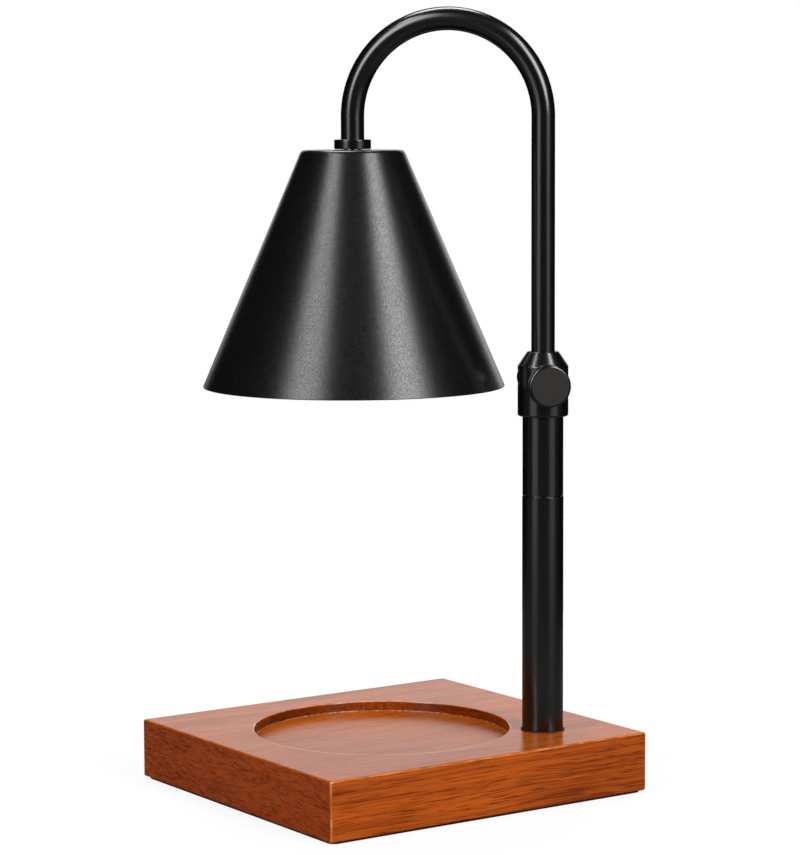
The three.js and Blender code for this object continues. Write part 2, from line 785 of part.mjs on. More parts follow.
function socketStirrup() {
  const foot = socketTop - stirrupLegOverlap;
  const roof = stirrupTop - stirrupThickness;
  const outline = new THREE.Shape([
    at(-stirrupOuter, foot), at(-stirrupInner, foot), at(-stirrupInner, roof), at(stirrupInner, roof),
    at(stirrupInner, foot), at(stirrupOuter, foot), at(stirrupOuter, stirrupTop),
    at(-stirrupOuter, stirrupTop),
  ]);
  const strap = new THREE.ExtrudeGeometry(outline, { depth: stirrupWidth, bevelEnabled: false })
    .translate(0, 0, -stirrupWidth / 2).rotateX(Math.PI / 2);
  const hole = rod(shadeNippleRadius + gap, roof - overrun, stirrupTop + overrun);
  return piece('socket_stirrup', cut(strap, [hole, stirrupScrewBore(0), stirrupScrewBore(Math.PI)]), steel);
}

function stirrupScrew(side, number) {
  const seat = stirrupOuter + gap;
  const tip = socketRadius - stirrupScrewBite;
  const crown = seat + stirrupScrewHeadHeight;
  const outline = [
    at(0, tip), at(stirrupScrewRadius, tip), at(stirrupScrewRadius, seat),
    at(stirrupScrewHeadRadius, seat), at(stirrupScrewHeadRadius, crown), at(0, crown),
  ];
  const body = cut(turned(outline), [driverSlot(stirrupScrewHeadRadius, crown)]);
  body.rotateY(Math.PI / 2).rotateZ(side).translate(0, 0, stirrupScrewLevel);
  return piece(`stirrup_screw_${number + 1}`, body, steel);
}

// Lamp socket: a roof with the lead hole, a chamber for the pin heads, a web with two keyholes
// and a skirt round the bulb's cap

const chamberTop = socketTop - socketRoof;
const webTop = chamberTop - socketChamberHeight;
const webFoot = webTop - socketWeb;
const socketFoot = webFoot - socketSkirt;

// A slot in the web that a pin's stem turns in, with a wider hole where its head goes in
function keyhole(side) {
  const stem = pinStemRadius + gap;
  const orbit = pinSpacing / 2;
  const slot = new THREE.Shape();
  slot.absarc(0, 0, orbit + stem, -bulbTwist, 0);
  slot.absarc(orbit, 0, stem, 0, Math.PI);
  slot.absarc(0, 0, orbit - stem, 0, -bulbTwist, true);
  const end = at(orbit * Math.cos(bulbTwist), -orbit * Math.sin(bulbTwist));
  slot.absarc(end.x, end.y, stem, Math.PI - bulbTwist, 2 * Math.PI - bulbTwist);
  const options = { depth: socketWeb + 2 * overrun, bevelEnabled: false, curveSegments: arcSteps };
  const groove = new THREE.ExtrudeGeometry(slot, options).translate(0, 0, webFoot - overrun).rotateZ(side);
  const entry = rod(pinHeadRadius + gap, webFoot - overrun, webTop + overrun)
    .translate(end.x, end.y, 0).rotateZ(side);
  return [groove, entry];
}

function lampSocket() {
  const body = rod(socketRadius, socketFoot, socketTop, tubeSteps);
  return piece('lamp_socket', cut(body, [
    rod(capRadius + gap, socketFoot - overrun, webFoot, tubeSteps),
    rod(socketChamberRadius, webTop, chamberTop),
    rod(leadHoleRadius, chamberTop - overrun, socketTop + overrun),
    ...keyhole(0),
    ...keyhole(Math.PI),
    stirrupScrewBore(0),
    stirrupScrewBore(Math.PI),
  ]), ceramic);
}

function socketContact(side, number) {
  const top = chamberTop - gap;
  const middle = (side * pinSpacing) / 2;
  const low = new THREE.Vector3(middle - contactWidth / 2, -contactLength / 2, top - contactThickness);
  const high = new THREE.Vector3(middle + contactWidth / 2, contactLength / 2, top);
  return piece(`socket_contact_${number + 1}`, block(low, high), brass);
}

// Bulb

const capTop = webFoot - gap;
const capFoot = capTop - capHeight;

function bulbCap() {
  const seats = [-1, 1].map((side) => (
    rod(pinStemRadius + gap, capTop - pinSeatDepth - gap, capTop + overrun)
      .translate((side * pinSpacing) / 2, 0, 0)
  ));
  return piece('bulb_cap', cut(rod(capRadius, capFoot, capTop, tubeSteps), seats), ceramic);
}

function bulbPin(side, number) {
  const headFoot = webTop + gap;
  const headTop = chamberTop - gap - contactThickness - gap;
  const foot = capTop - pinSeatDepth;
  const pin = piece(`bulb_pin_${number + 1}`, turned([
    at(0, foot), at(pinStemRadius, foot), at(pinStemRadius, headFoot), at(pinHeadRadius, headFoot),
    at(pinHeadRadius, headTop), at(0, headTop),
  ]), steel);
  pin.position.x = (side * pinSpacing) / 2;
  return pin;
}

const bulbFoot = capTop - bulbLength;
const reflectorTop = capFoot - gap;
const reflectorLip = bulbFoot + reflectorLipHeight;

// Points down the reflector's bowl, a parabola from the neck to the lip, a depth inside its face
function bowl(depth) {
  const neck = reflectorNeckRadius - depth;
  const rim = reflectorRimRadius - depth;
  const top = reflectorTop - reflectorNeckThickness;
  const points = [];
  for (let step = 0; step <= reflectorSteps; step += 1) {
    const share = step / reflectorSteps;
    const radius = Math.sqrt(neck ** 2 + share * (rim ** 2 - neck ** 2));
    points.push(at(radius, top + share * (reflectorLip - top)));
  }
  return points;
}

function bulbReflector() {
  const hole = capsuleRadius + gap;
  const inner = reflectorRimRadius - reflectorWall;
  const outline = [
    at(inner, bulbFoot), at(reflectorRimRadius, bulbFoot), ...bowl(0).reverse(),
    at(reflectorNeckRadius, reflectorTop), at(hole, reflectorTop),
    at(hole, reflectorTop - reflectorNeckThickness), ...bowl(reflectorWall), at(inner, bulbFoot),
  ];
  return piece('bulb_reflector', turned(outline, tubeSteps), mirror);
}

function bulbCapsule() {
  const foot = reflectorTop - capsuleLength;
  const tip = arcPoints(at(0, foot + capsuleRadius), capsuleRadius, -Math.PI / 2, 0);
  tip[0].x = 0;
  const outline = [...tip, at(capsuleRadius, reflectorTop), at(0, reflectorTop)];
  return piece('bulb_capsule', turned(outline), clearGlass);
}

function bulbLens() {
  const radius = reflectorRimRadius - reflectorWall - gap;
  const foot = bulbFoot + gap;
  return piece('bulb_lens', rod(radius, foot, foot + lensThickness, tubeSteps), clearGlass);
}

// Assembly

const lamp = new THREE.Group();
lamp.add(basePad(), woodBase(), coverPlate(), ...coverScrewPlaces().map(coverScrew));
lamp.add(cordGland(), terminalBlock(), ...terminalScrewPlaces().map(terminalScrew), baseLead());

const post = new THREE.Group();
post.position.set(postPlace.x, postPlace.y, 0);
post.add(postGasket(), postNipple(), nippleWasher(), nippleNut(), footPlug(), lowerTube());
post.add(postJoiner(), upperTube(), collar(), postLead());
lamp.add(post);

// A group whose +Z points away from the post, at a level and in a direction
function radialGroup(level, azimuth) {
  const group = new THREE.Group();
  group.rotation.set(0, Math.PI / 2, azimuth, 'ZYX');
  group.position.z = level;
  return group;
}

const screwSide = radialGroup(collarScrewLevel, collarScrewAzimuth);
screwSide.add(collarScrew());
const knobSide = radialGroup(knobLevel, knobAzimuth);
knobSide.add(clampPad(), lockScrew(), lockKnob());
post.add(screwSide, knobSide);

const arm = new THREE.Group();
arm.rotation.z = armAzimuth;
arm.add(armBush(), armTube(), armStopRing(), armGrommet(), armLead());
post.add(arm);

const head = new THREE.Group();
head.position.set(armReach, 0, shadeTop);
head.add(shade(), shadeCollar(), shadeNipple(), shadeWasher(), shadeNut(), socketStirrup());
head.add(...[0, Math.PI].map(stirrupScrew), lampSocket(), ...[-1, 1].map(socketContact));
head.add(bulbCap(), ...[-1, 1].map(bulbPin), bulbReflector(), bulbCapsule(), bulbLens());
arm.add(head);

export default lamp;
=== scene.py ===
"""Candle warmer lamp: its looks, modelled and finished around the fixed frame that the CAD gives.

Lengths are in metres in the frame of the CAD: +Z up, the origin at the middle of the underside.
"""

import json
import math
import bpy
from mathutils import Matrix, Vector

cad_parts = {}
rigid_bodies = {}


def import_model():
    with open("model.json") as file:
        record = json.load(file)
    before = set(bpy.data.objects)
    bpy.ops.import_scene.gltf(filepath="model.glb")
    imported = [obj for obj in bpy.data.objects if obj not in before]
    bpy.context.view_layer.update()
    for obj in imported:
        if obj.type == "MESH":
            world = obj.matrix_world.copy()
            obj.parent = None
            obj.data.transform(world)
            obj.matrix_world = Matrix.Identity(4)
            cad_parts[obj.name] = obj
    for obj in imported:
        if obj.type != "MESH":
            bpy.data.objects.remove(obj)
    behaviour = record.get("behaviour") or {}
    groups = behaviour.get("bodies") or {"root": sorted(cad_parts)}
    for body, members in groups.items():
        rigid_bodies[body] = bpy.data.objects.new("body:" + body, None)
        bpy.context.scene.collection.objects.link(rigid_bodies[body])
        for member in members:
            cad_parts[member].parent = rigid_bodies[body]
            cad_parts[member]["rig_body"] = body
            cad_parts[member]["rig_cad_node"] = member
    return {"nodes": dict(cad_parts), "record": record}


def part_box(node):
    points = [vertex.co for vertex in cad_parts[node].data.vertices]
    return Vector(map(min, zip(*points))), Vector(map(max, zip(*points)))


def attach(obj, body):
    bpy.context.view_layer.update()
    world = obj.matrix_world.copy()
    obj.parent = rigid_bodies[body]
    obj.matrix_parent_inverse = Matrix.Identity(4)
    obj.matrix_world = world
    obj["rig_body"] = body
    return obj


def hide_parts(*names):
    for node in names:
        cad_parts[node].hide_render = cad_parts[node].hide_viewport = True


bl_info = {
    "name": "Candle Warmer Lamp",
    "version": (1, 0, 0),
    "blender": (4, 5, 0),
    "location": "3D View > Sidebar > Lamp",
    "description": "Models a candle warmer lamp around its fixed frame, in a plain studio",
    "category": "Add Mesh",
}

from typing import NamedTuple

import bpy
from mathutils import Matrix, Vector

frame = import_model()
bpy.ops.object.select_all(action="DESELECT")
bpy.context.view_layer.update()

# Clearance between pieces that touch, how far a cutter runs past a face, and the distance under
# which two points are one
GAP = 0.0003
OVERRUN = 0.001
SPECK = 1e-6

# How far the curve round the knob's face rises towards the face, in degrees
KNOB_SLOPE = 75


# What the frame gives


def middle(node):
    """The middle of a CAD node's box."""
    low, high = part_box(node)
    return (low + high) / 2


POST = middle("lower_tube").xy
HEAD = middle("shade_collar").xy
SHADE_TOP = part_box("shade")[1].z
COLLAR_FOOT, COLLAR_TOP = (corner.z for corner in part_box("collar"))
WOOD_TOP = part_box("wood_base")[1].z


# Properties


def length(name, description, metres, least=0):
    """A length that a user can set."""
    return bpy.props.FloatProperty(
        name=name, description=description, default=metres, min=least, unit="LENGTH", precision=5
    )


def angle(name, description, degrees):
    """An angle that a user can set."""
    return bpy.props.FloatProperty(
        name=name, description=description, default=math.radians(degrees), subtype="ANGLE"
    )


def number(name, description, value):
    """A plain number that a user can set."""
    return bpy.props.FloatProperty(name=name, description=description, default=value, min=0)


def count(name, description, value):
    """A number of steps or faces."""
    return bpy.props.IntProperty(name=name, description=description, default=value, min=1)


def colour(name, description, red, green, blue):
    """A colour that a user can pick, given as linear light."""
    return bpy.props.FloatVectorProperty(
        name=name,
        description=description,
        default=(red, green, blue, 1),
        size=4,
        min=0,
        max=1,
        subtype="COLOR",
    )


class BaseSizes(bpy.types.PropertyGroup):
    """Sizes of the wooden base and of what is let into it."""

    corner: length("Corner", "Radius of the four upright corners", 0.0012)
    edge: length("Edge", "Radius round the top and bottom faces", 0.0009)
    recess: length("Recess", "Radius of the round recess for the jar", 0.0516)
    depth: length("Recess depth", "Depth of the recess", 0.0042)
    recess_x: length("Recess X", "Centre of the recess along X", -0.00415, least=-1)
    recess_y: length("Recess Y", "Centre of the recess along Y", 0.00085, least=-1)
    lip: length("Lip", "Radius of the recess's upper edge", 0.0006)
    fillet: length("Fillet", "Radius between the recess's wall and floor", 0.0004)
    cover_side: length("Cover side", "How far the cover plate overlaps the pocket's sides", 0.003)
    cover_end: length("Cover end", "How far the cover plate overlaps the pocket's ends", 0.009)
    pocket_depth: length("Pocket depth", "Depth of the wiring pocket in the wood", 0.0145)
    pocket_corner: length("Pocket corner", "Corner radius of the wiring pocket", 0.006)
    cover_corner: length("Cover corner", "Corner radius of the cover plate", 0.003)
    post_hole: length("Post hole", "Radius of the hole under the post", 0.0055)
    screw_hole: length("Screw hole", "Radius of the cover screws' holes", 0.0018)
    gland_neck: length("Gland neck", "Radius of the cord gland's neck", 0.004)
    gland_bore: length("Gland bore", "Radius of the cord gland's bore", 0.0025)
    gland_flange: length("Gland flange", "Radius of the cord gland's flange", 0.0065)
    gland_thickness: length("Flange thickness", "Thickness of the cord gland's flange", 0.002)


class PostSizes(bpy.types.PropertyGroup):
    """Sizes of the post, its collar and its knob."""

    wall: length("Tube wall", "Wall of the post's tubes", 0.001)
    soft: length("Tube edge", "Rounding of the tubes' ends", 0.00015)
    collar: length("Collar", "Radius of the clamp collar", 0.0101)
    cone: length("Cone", "Height of the collar's conical top", 0.0057)
    cone_top: length("Cone top", "Radius of the collar at the top of its cone", 0.0062)
    foot: length("Collar foot", "Radius of the collar's rounded foot", 0.0008)
    shoulder: length("Collar edge", "Rounding of the collar's shoulder and top", 0.0003)
    flange: length("Bush flange", "Thickness of the bush's flange under the collar's roof", 0.0015)
    knob_azimuth: angle("Knob direction", "Direction in which the knob points, from +X", 244.3)
    knob: length("Knob", "Radius of the lock knob's front rim", 0.00825)
    knob_back: length("Knob back", "Radius of the lock knob's back rim", 0.0085)
    knob_waist: length("Knob waist", "Radius of the lock knob between its rims", 0.0081)
    rim: length("Knob rim", "Thickness of the knob's back rim", 0.0011)
    face: length("Knob face", "Radius of the knob's matt face", 0.0075)
    groove: length("Knob groove", "Width of the groove round the matt face", 0.00015)
    thickness: length("Knob thickness", "Thickness of the knob", 0.0044)
    bevel: length("Knob bevel", "Radius of the curve round the knob's face", 0.00115)
    chamfer: length("Knob chamfer", "Chamfer round the knob's back", 0.0004)
    standoff: length("Knob standoff", "Space between the collar and the knob", 0.0005)
    inlay: length("Knob inlay", "Depth at which the matt face is let into the knob", 0.0004)
    centre_mark: length("Centre mark", "Radius of the turning mark in the matt face", 0.0002)
    bore: length("Knob bore", "Depth of the bore that takes the lock screw", 0.003)
    lock_screw: length("Lock screw", "Radius of the lock screw", 0.0025)
    button: length("Button head", "Radius of the collar screw's head", 0.003)
    button_shank: length("Button shank", "Radius of the collar screw's shank", 0.002)
    button_dome: length("Button dome", "Height of the collar screw's dome", 0.00085)
    button_seat: length("Button seat", "Depth of the seat that the collar screw sits in", 0.0007)
    button_socket: length("Button socket", "Radius of the hexagon in the head", 0.0011)


class ArmSizes(bpy.types.PropertyGroup):
    """Sizes of the bent arm."""

    tube: length("Tube", "Radius of the arm's tube", 0.0047)
    wall: length("Wall", "Wall of the arm's tube", 0.0009)
    arch: length("Arch level", "Height at which the two straight legs meet the arch", 0.2702)
    sides: count("Sides", "Faces round the arm's tube", 96)
    bends: count("Bends", "Steps round the arch", 160)


class ShadeSizes(bpy.types.PropertyGroup):
    """Sizes of the shade and of the ring on top of it."""

    top: length("Top", "Radius of the shade's flat top", 0.0206)
    rim: length("Rim", "Radius of the shade's mouth", 0.0608)
    wall: length("Wall", "Thickness of the sheet", 0.001)
    edge: length("Edge", "Radius of the bend round the top", 0.0022)
    hem: length("Hem", "Extra thickness of the hem round the mouth", 0.001)
    hem_height: length("Hem height", "Height of the hem", 0.003)
    hem_soft: length("Hem edge", "Rounding of the hem's edges", 0.00035)
    hole: length("Hole", "Radius of the hole in the top", 0.0038)
    ring: length("Ring", "Radius of the ring on top of the shade", 0.0074)
    ring_edge: length("Ring edge", "Rounding of the ring's edges", 0.0004)
    steps: count("Steps", "Faces round the shade", 192)


class BulbSizes(bpy.types.PropertyGroup):
    """Sizes of the reflector bulb."""

    rim: length("Rim", "Radius of the reflector's mouth", 0.025)
    neck: length("Neck", "Radius of the reflector's neck", 0.009)
    wall: length("Wall", "Wall of the reflector", 0.0012)
    floor: length("Neck wall", "Thickness of the reflector's closed end", 0.0015)
    lip: length("Lip", "Height of the reflector's straight lip", 0.004)
    capsule: length("Capsule", "Radius of the capsule in the reflector", 0.004)
    facets: count("Facets", "Flat mirrors round the bowl", 36)
    rings: count("Rings", "Rings of mirrors from neck to lip", 9)


class LampColours(bpy.types.PropertyGroup):
    """Colours of the lamp's finishes."""

    wood_light: colour("Wood, light", "Light wood between the grain lines", 0.6, 0.113, 0.0095)
    wood_dark: colour("Wood, dark", "Dark grain lines", 0.2, 0.03, 0.003)
    wood_end: colour("End grain", "What the end grain's colour is multiplied by", 0.66, 0.54, 0.42)
    # Painted shade on the upper faces: their colour is multiplied down and tinted
    wood_top_shade: colour("Wood, top", "What the upper faces' colour is multiplied by", 0.86, 0.95, 0.68)
    # Painted shade on the recess's wall
    wood_wall_shade: colour("Recess wall", "What the wall's colour is multiplied by", 0.35, 0.35, 0.4)
    # Painted highlight on the wood's upper edges and upright corners
    wood_edge_highlight: colour("Wood, edges", "Rubbed edges of the wood", 1.0, 0.4, 0.11)
    # Painted glints round the recess's rim and at the foot of its wall
    wood_glint: colour("Wood, glints", "Glints of lacquer round the recess", 0.7, 0.55, 0.45)
    satin: colour("Satin black", "Paint on the tubes and the collar", 0.0024, 0.0022, 0.0021)
    powder: colour("Powder black", "Powder coat on the shade", 0.0042, 0.004, 0.0038)
    knob: colour("Knob grey", "Matt grey of the lock knob", 0.0175, 0.0148, 0.0138)
    rubber: colour("Rubber", "Black rubber of the pad, gasket and gland", 0.006, 0.006, 0.006)
    steel: colour("Steel", "Zinc-plated steel", 0.55, 0.55, 0.56)
    brass: colour("Brass", "Plain brass", 0.62, 0.42, 0.12)
    nylon: colour("Nylon", "Natural nylon", 0.72, 0.7, 0.63)
    ceramic: colour("Ceramic", "Unglazed ceramic", 0.82, 0.8, 0.74)
    silicone: colour("Silicone", "Sleeve of the leads", 0.66, 0.62, 0.55)
    mirror: colour("Mirror", "Coating of the reflector", 0.85, 0.85, 0.86)


class StageSettings(bpy.types.PropertyGroup):
    """Camera and lights of the studio."""

    lens: number("Lens", "Focal length in millimetres on a 36 mm sensor", 125.7)
    heading: angle("Heading", "Direction in which the camera looks, from +Y towards +X", 34.595)
    pitch: angle("Pitch", "How far the camera looks down", 6.223)
    roll: angle("Roll", "Turn of the camera about its own axis", -0.22345)
    left_power: number("Left power", "Power of the left softbox in watts", 10.8)
    right_power: number("Right power", "Power of the right softbox in watts", 14.5)
    low_power: number("Low power", "Power of the left low softbox in watts", 0.92)
    high_power: number("High power", "Power of each of the two high softboxes in watts", 1.5)
    back_power: number("Back power", "Power of the softbox behind and above in watts", 9)
    fill: number("Fill", "Even light from all round", 0.1)
    dim: number("Dim", "What polished surfaces see at the dark sides of the studio", 0.006)
    under: number("Under", "What polished surfaces see of the dark ground round the floor", 0.09)
    glow: number("Glow", "What polished surfaces see behind the lamp", 1.05)
    middle: number("Middle", "What polished surfaces see between the two tall softboxes", 0.14)


# Drawing with operators


def pick(piece):
    """Makes a piece the only selected object, and the active one."""
    bpy.ops.object.select_all(action="DESELECT")
    piece.select_set(True)
    bpy.context.view_layer.objects.active = piece


def named(name):
    """The object that an operator just made, under its own name."""
    piece = bpy.context.object
    piece.name = piece.data.name = name
    return piece


def put(piece, location=None, turn=(0, 0, 0)):
    """Turns and moves a piece, or leaves it where it is, and keeps its place in its mesh."""
    pick(piece)
    if location is not None:
        piece.location = location
    piece.rotation_euler = turn
    bpy.ops.object.transform_apply(location=True, rotation=True, scale=True)
    return piece


def modify(piece, kind, **settings):
    """Applies a modifier with its settings to a piece."""
    pick(piece)
    modifier = piece.modifiers.new(kind, kind)
    for name, value in settings.items():
        setattr(modifier, name, value)
    bpy.ops.object.modifier_apply(modifier=modifier.name)
    return piece


def at_level(level):
    """A test for edges that lie at one level."""
    return lambda a, b: max(abs(a.z - level), abs(b.z - level)) < SPECK


def round_edges(piece, radius, test, segments):
    """Rounds the edges whose two ends pass the test."""
    pick(piece)
    bpy.ops.object.mode_set(mode="EDIT")
    bpy.ops.mesh.select_mode(type="EDGE")
    bpy.ops.mesh.select_all(action="DESELECT")
    bpy.ops.object.mode_set(mode="OBJECT")
    points = piece.data.vertices
    for edge in piece.data.edges:
        edge.select = test(*(points[end].co for end in edge.vertices))
    bpy.ops.object.mode_set(mode="EDIT")
    bpy.ops.mesh.bevel(offset=radius, segments=segments, affect="EDGES")
    bpy.ops.object.mode_set(mode="OBJECT")


def soften(piece, radius, segments=3, sharper_than=28):
    """Rounds the edges of a piece that are sharper than an angle in degrees."""
    limit = {"limit_method": "ANGLE", "angle_limit": math.radians(sharper_than)}
    return modify(piece, "BEVEL", width=radius, segments=segments, **limit)


def carve(piece, cutter):
    """Cuts one closed shape out of a piece, and removes the cutter."""
    modify(piece, "BOOLEAN", operation="DIFFERENCE", solver="EXACT", object=cutter)
    pick(cutter)
    bpy.ops.object.delete()
    return piece


def rod(radius, low, high, steps=48):
    """A plain cylinder between two levels of the Z axis, to cut with."""
    bpy.ops.mesh.primitive_cylinder_add(
        vertices=steps, radius=radius, depth=high - low, location=(0, 0, (low + high) / 2)
    )
    return put(bpy.context.object)


def round_box(name, low, high, corner):
    """A box with round upright corners."""
    size = high - low
    bpy.ops.mesh.primitive_cube_add(size=1, location=(low + high) / 2, scale=size)
    box = put(named(name))
    round_edges(box, corner, lambda a, b: abs(a.z - b.z) > size.z / 2, segments=6)
    return box


def arc(radius, height, size, start, end, steps=6):
    """Points of an outline along an arc round (radius, height), with the angles in degrees."""
    angles = [math.radians(start + (end - start) * step / steps) for step in range(steps + 1)]
    return [(radius + size * math.cos(a), height + size * math.sin(a)) for a in angles]


def close_mesh():
    """Merges doubled points, turns all faces outwards, and leaves edit mode."""
    bpy.ops.mesh.select_all(action="SELECT")
    bpy.ops.mesh.remove_doubles(threshold=SPECK)
    bpy.ops.mesh.normals_make_consistent(inside=False)
    bpy.ops.object.mode_set(mode="OBJECT")


def turned(name, outline, steps=96):
    """Extrudes an outline of (distance from the axis, height) points, and spins it round +Z."""
    bpy.ops.mesh.primitive_plane_add(size=GAP)
    piece = named(name)
    bpy.ops.object.mode_set(mode="EDIT")
    bpy.ops.mesh.select_mode(type="VERT")
    bpy.ops.mesh.select_all(action="SELECT")
    bpy.ops.mesh.merge(type="CENTER")
    here = Vector((0, 0, 0))
    for point, (radius, height) in enumerate(outline):
        step = Vector((radius, 0, height)) - here
        if point:
            bpy.ops.mesh.extrude_region_move(TRANSFORM_OT_translate={"value": step})
        else:
            bpy.ops.transform.translate(value=step)
        here += step
    bpy.ops.mesh.select_all(action="SELECT")
    bpy.ops.mesh.spin(steps=steps, angle=2 * math.pi, center=(0, 0, 0), axis=(0, 0, 1))
    close_mesh()
    return piece


def sleeve(name, outer, inner, low, high, steps=96):
    """A ring or a tube round +Z."""
    outline = [(inner, low), (outer, low), (outer, high), (inner, high), (inner, low)]
    return turned(name, outline, steps)


def outward(azimuth):
    """The turn that points a piece's +Z away from the post in a direction."""
    return (0, math.pi / 2, azimuth)


def finish_piece(piece, body, node, slot, at=None, turn=(0, 0, 0), finish=None, smooth=38):
    """Puts a piece in place, smooths edges up to an angle in degrees, gives it the finish of its
    slot or of another slot, attaches it to its body, and hides the CAD node that it stands for."""
    put(piece, at, turn)
    bpy.ops.object.shade_smooth_by_angle(angle=math.radians(smooth))
    modify(piece, "WEIGHTED_NORMAL", keep_sharp=True)
    piece.data.materials.clear()
    piece.data.materials.append(look(finish or slot))
    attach(piece, body)
    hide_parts(node)


def rounded_copy(node, name, radius):
    """A copy of a CAD node's solid with its triangles merged and its edges rounded."""
    pick(frame["nodes"][node])
    bpy.ops.object.duplicate()
    piece = named(name)
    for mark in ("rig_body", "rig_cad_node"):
        del piece[mark]
    piece.parent = None
    bpy.ops.mesh.customdata_custom_splitnormals_clear()
    bpy.ops.object.mode_set(mode="EDIT")
    bpy.ops.mesh.select_all(action="SELECT")
    bpy.ops.mesh.remove_doubles(threshold=SPECK)
    bpy.ops.mesh.dissolve_limited(angle_limit=math.radians(1))
    bpy.ops.object.mode_set(mode="OBJECT")
    return soften(piece, radius)


# Shader maths


class Value:
    """A node's output that Python's operators work on. Each operator adds its Math node."""

    def __init__(self, paint, socket):
        self.paint = paint
        self.socket = socket

    def _math(self, operation, *terms):
        return self.paint.add("ShaderNodeMath", {"operation": operation}, dict(enumerate(terms)))

    def __add__(self, other):
        return self._math("ADD", self, other)

    __radd__ = __add__

    def __sub__(self, other):
        return self._math("SUBTRACT", self, other)

    def __rsub__(self, other):
        return self._math("SUBTRACT", other, self)

    def __mul__(self, other):
        return self._math("MULTIPLY", self, other)

    __rmul__ = __mul__

    def __abs__(self):
        return self._math("ABSOLUTE", self)


class Paint:
    """The node tree of a material or of the world."""

    def __init__(self, owner):
        owner.use_nodes = True
        self.tree = owner.node_tree
        self.shader = self.tree.nodes.get("Principled BSDF") or self.tree.nodes.get("Background")

    def add(self, kind, settings=None, inputs=None, output=0):
        """Adds a node with its settings, and gives one of its outputs."""
        node = self.tree.nodes.new(kind)
        for name, value in (settings or {}).items():
            setattr(node, name, value)
        for name, value in (inputs or {}).items():
            self.feed(node.inputs[name], value)
        return Value(self, node.outputs[output])

    def feed(self, socket, value):
        """Links a value to a socket, or sets the socket."""
        if isinstance(value, Value):
            self.tree.links.new(value.socket, socket)
        else:
            socket.default_value = value

    def set(self, **sockets):
        """Sets or links sockets of the surface's shader, named in Python's way."""
        for name, value in sockets.items():
            self.feed(self.shader.inputs[name.replace("_", " ")], value)

    def place(self):
        """Where a point of the surface is, in metres."""
        return self.add("ShaderNodeTexCoord", output="Object")

    def facing(self):
        """How far the surface faces along X, Y and Z, each from -1 to 1."""
        return self.split(self.add("ShaderNodeTexCoord", output="Normal"))

    def split(self, vector):
        """The three numbers of a vector."""
        node = self.add("ShaderNodeSeparateXYZ", inputs={"Vector": vector}).socket.node
        return [Value(self, output) for output in node.outputs]

    def vectors(self, operation, *terms, output="Value"):
        """Maths on vectors."""
        settings = {"operation": operation}
        return self.add("ShaderNodeVectorMath", settings, dict(enumerate(terms)), output)

    def noise(self, place, scale, detail=2.0, roughness=0.5, turn=(0, 0, 0), output=0):
        """Noise in features per metre, the same all round or along each axis."""
        scales = scale if isinstance(scale, tuple) else (scale, scale, scale)
        stretched = self.add(
            "ShaderNodeMapping",
            {"vector_type": "TEXTURE"},
            {"Vector": place, "Rotation": turn, "Scale": [1 / features for features in scales]},
        )
        settings = {"Vector": stretched, "Scale": 1, "Detail": detail, "Roughness": roughness}
        return self.add("ShaderNodeTexNoise", inputs=settings, output=output)

    def drift(self, place, scale, reach):
        """A place moved about softly, by up to about half the reach along each axis."""
        sway = self.noise(place, scale, output="Color")
        return self.vectors("MULTIPLY_ADD", sway, reach, place, output="Vector")

    def layers(self, place, layers, turn=(0, 0, 0)):
        """The sum of a pattern's layers, and the noise of each."""
        noises = [
            self.noise(place, layer.scale, layer.detail, layer.roughness, turn) for layer in layers
        ]
        first, *others = (
            self.ramp(noise, *layer.shows) * layer.share for noise, layer in zip(noises, layers)
        )
        return sum(others, first), noises

    def ramp(self, value, low, high, least=0, most=1):
        """A smooth rise from the least to the most while a value goes from low to high."""
        settings = {"Value": value, "From Min": low, "From Max": high}
        settings.update({"To Min": least, "To Max": most})
        return self.add("ShaderNodeMapRange", {"interpolation_type": "SMOOTHSTEP"}, settings)

    def hump(self, value, rise, fall):
        """A smooth rise over one span of a value, and a fall over another."""
        return self.ramp(value, *rise) * (1 - self.ramp(value, *fall))

    def mix(self, share, first, second, kind="MIX"):
        """Mixes two colours."""
        settings = {"data_type": "RGBA", "blend_type": kind}
        return self.add("ShaderNodeMix", settings, {0: share, 6: first, 7: second}, output=2)

    def tinted(self, share, colour, tint):
        """A share of a colour multiplied by a tint."""
        return self.mix(share, colour, tuple(tint), "MULTIPLY")

    def mottled(self, colour, pattern, spread):
        """A colour that a pattern makes darker and lighter, by a share of it."""
        low, high = ((share, share, share, 1) for share in (1 - spread, 1 + spread))
        return self.tinted(1.0, self.mix(pattern, low, high), colour)

    def grey(self, light):
        """A grey from black at 0 to white at 1."""
        return self.mix(light, (0, 0, 0, 1), (1, 1, 1, 1))

    def bump(self, height, distance, strength):
        """A bump from a height between 0 and 1, with the distance in metres."""
        settings = {"Height": height, "Distance": distance, "Strength": strength}
        return self.add("ShaderNodeBump", inputs=settings)


# Finishes


class Layer(NamedTuple):
    """A noise in a pattern: features per metre, what part of its range shows, and how strongly."""

    scale: tuple
    shows: tuple
    share: float
    detail: float = 2
    roughness: float = 0.5


# What darkens the wood: lines, broad bands, pores and patches in its long grain, and flecks,
# dashes, clouds and light sparks in its end grain
LONG_GRAIN = (
    Layer((13, 760, 880), (0.38, 0.68), 0.62, detail=5, roughness=0.72),
    Layer((5, 60, 110), (0.4, 0.7), 0.2),
    Layer((65, 1900, 2200), (0.55, 0.66), 0.65),
    Layer((16, 60, 80), (0.5, 0.72), 0.35, detail=3),
)
END_GRAIN = (
    Layer((60, 170, 1500), (0.38, 0.66), 0.6, detail=3, roughness=0.6),
    Layer((60, 300, 2400), (0.52, 0.66), 0.35, detail=1),
    Layer((50, 40, 110), (0.35, 0.7), 0.2),
    Layer((60, 340, 2300), (0.54, 0.66), -0.7, detail=1),
)

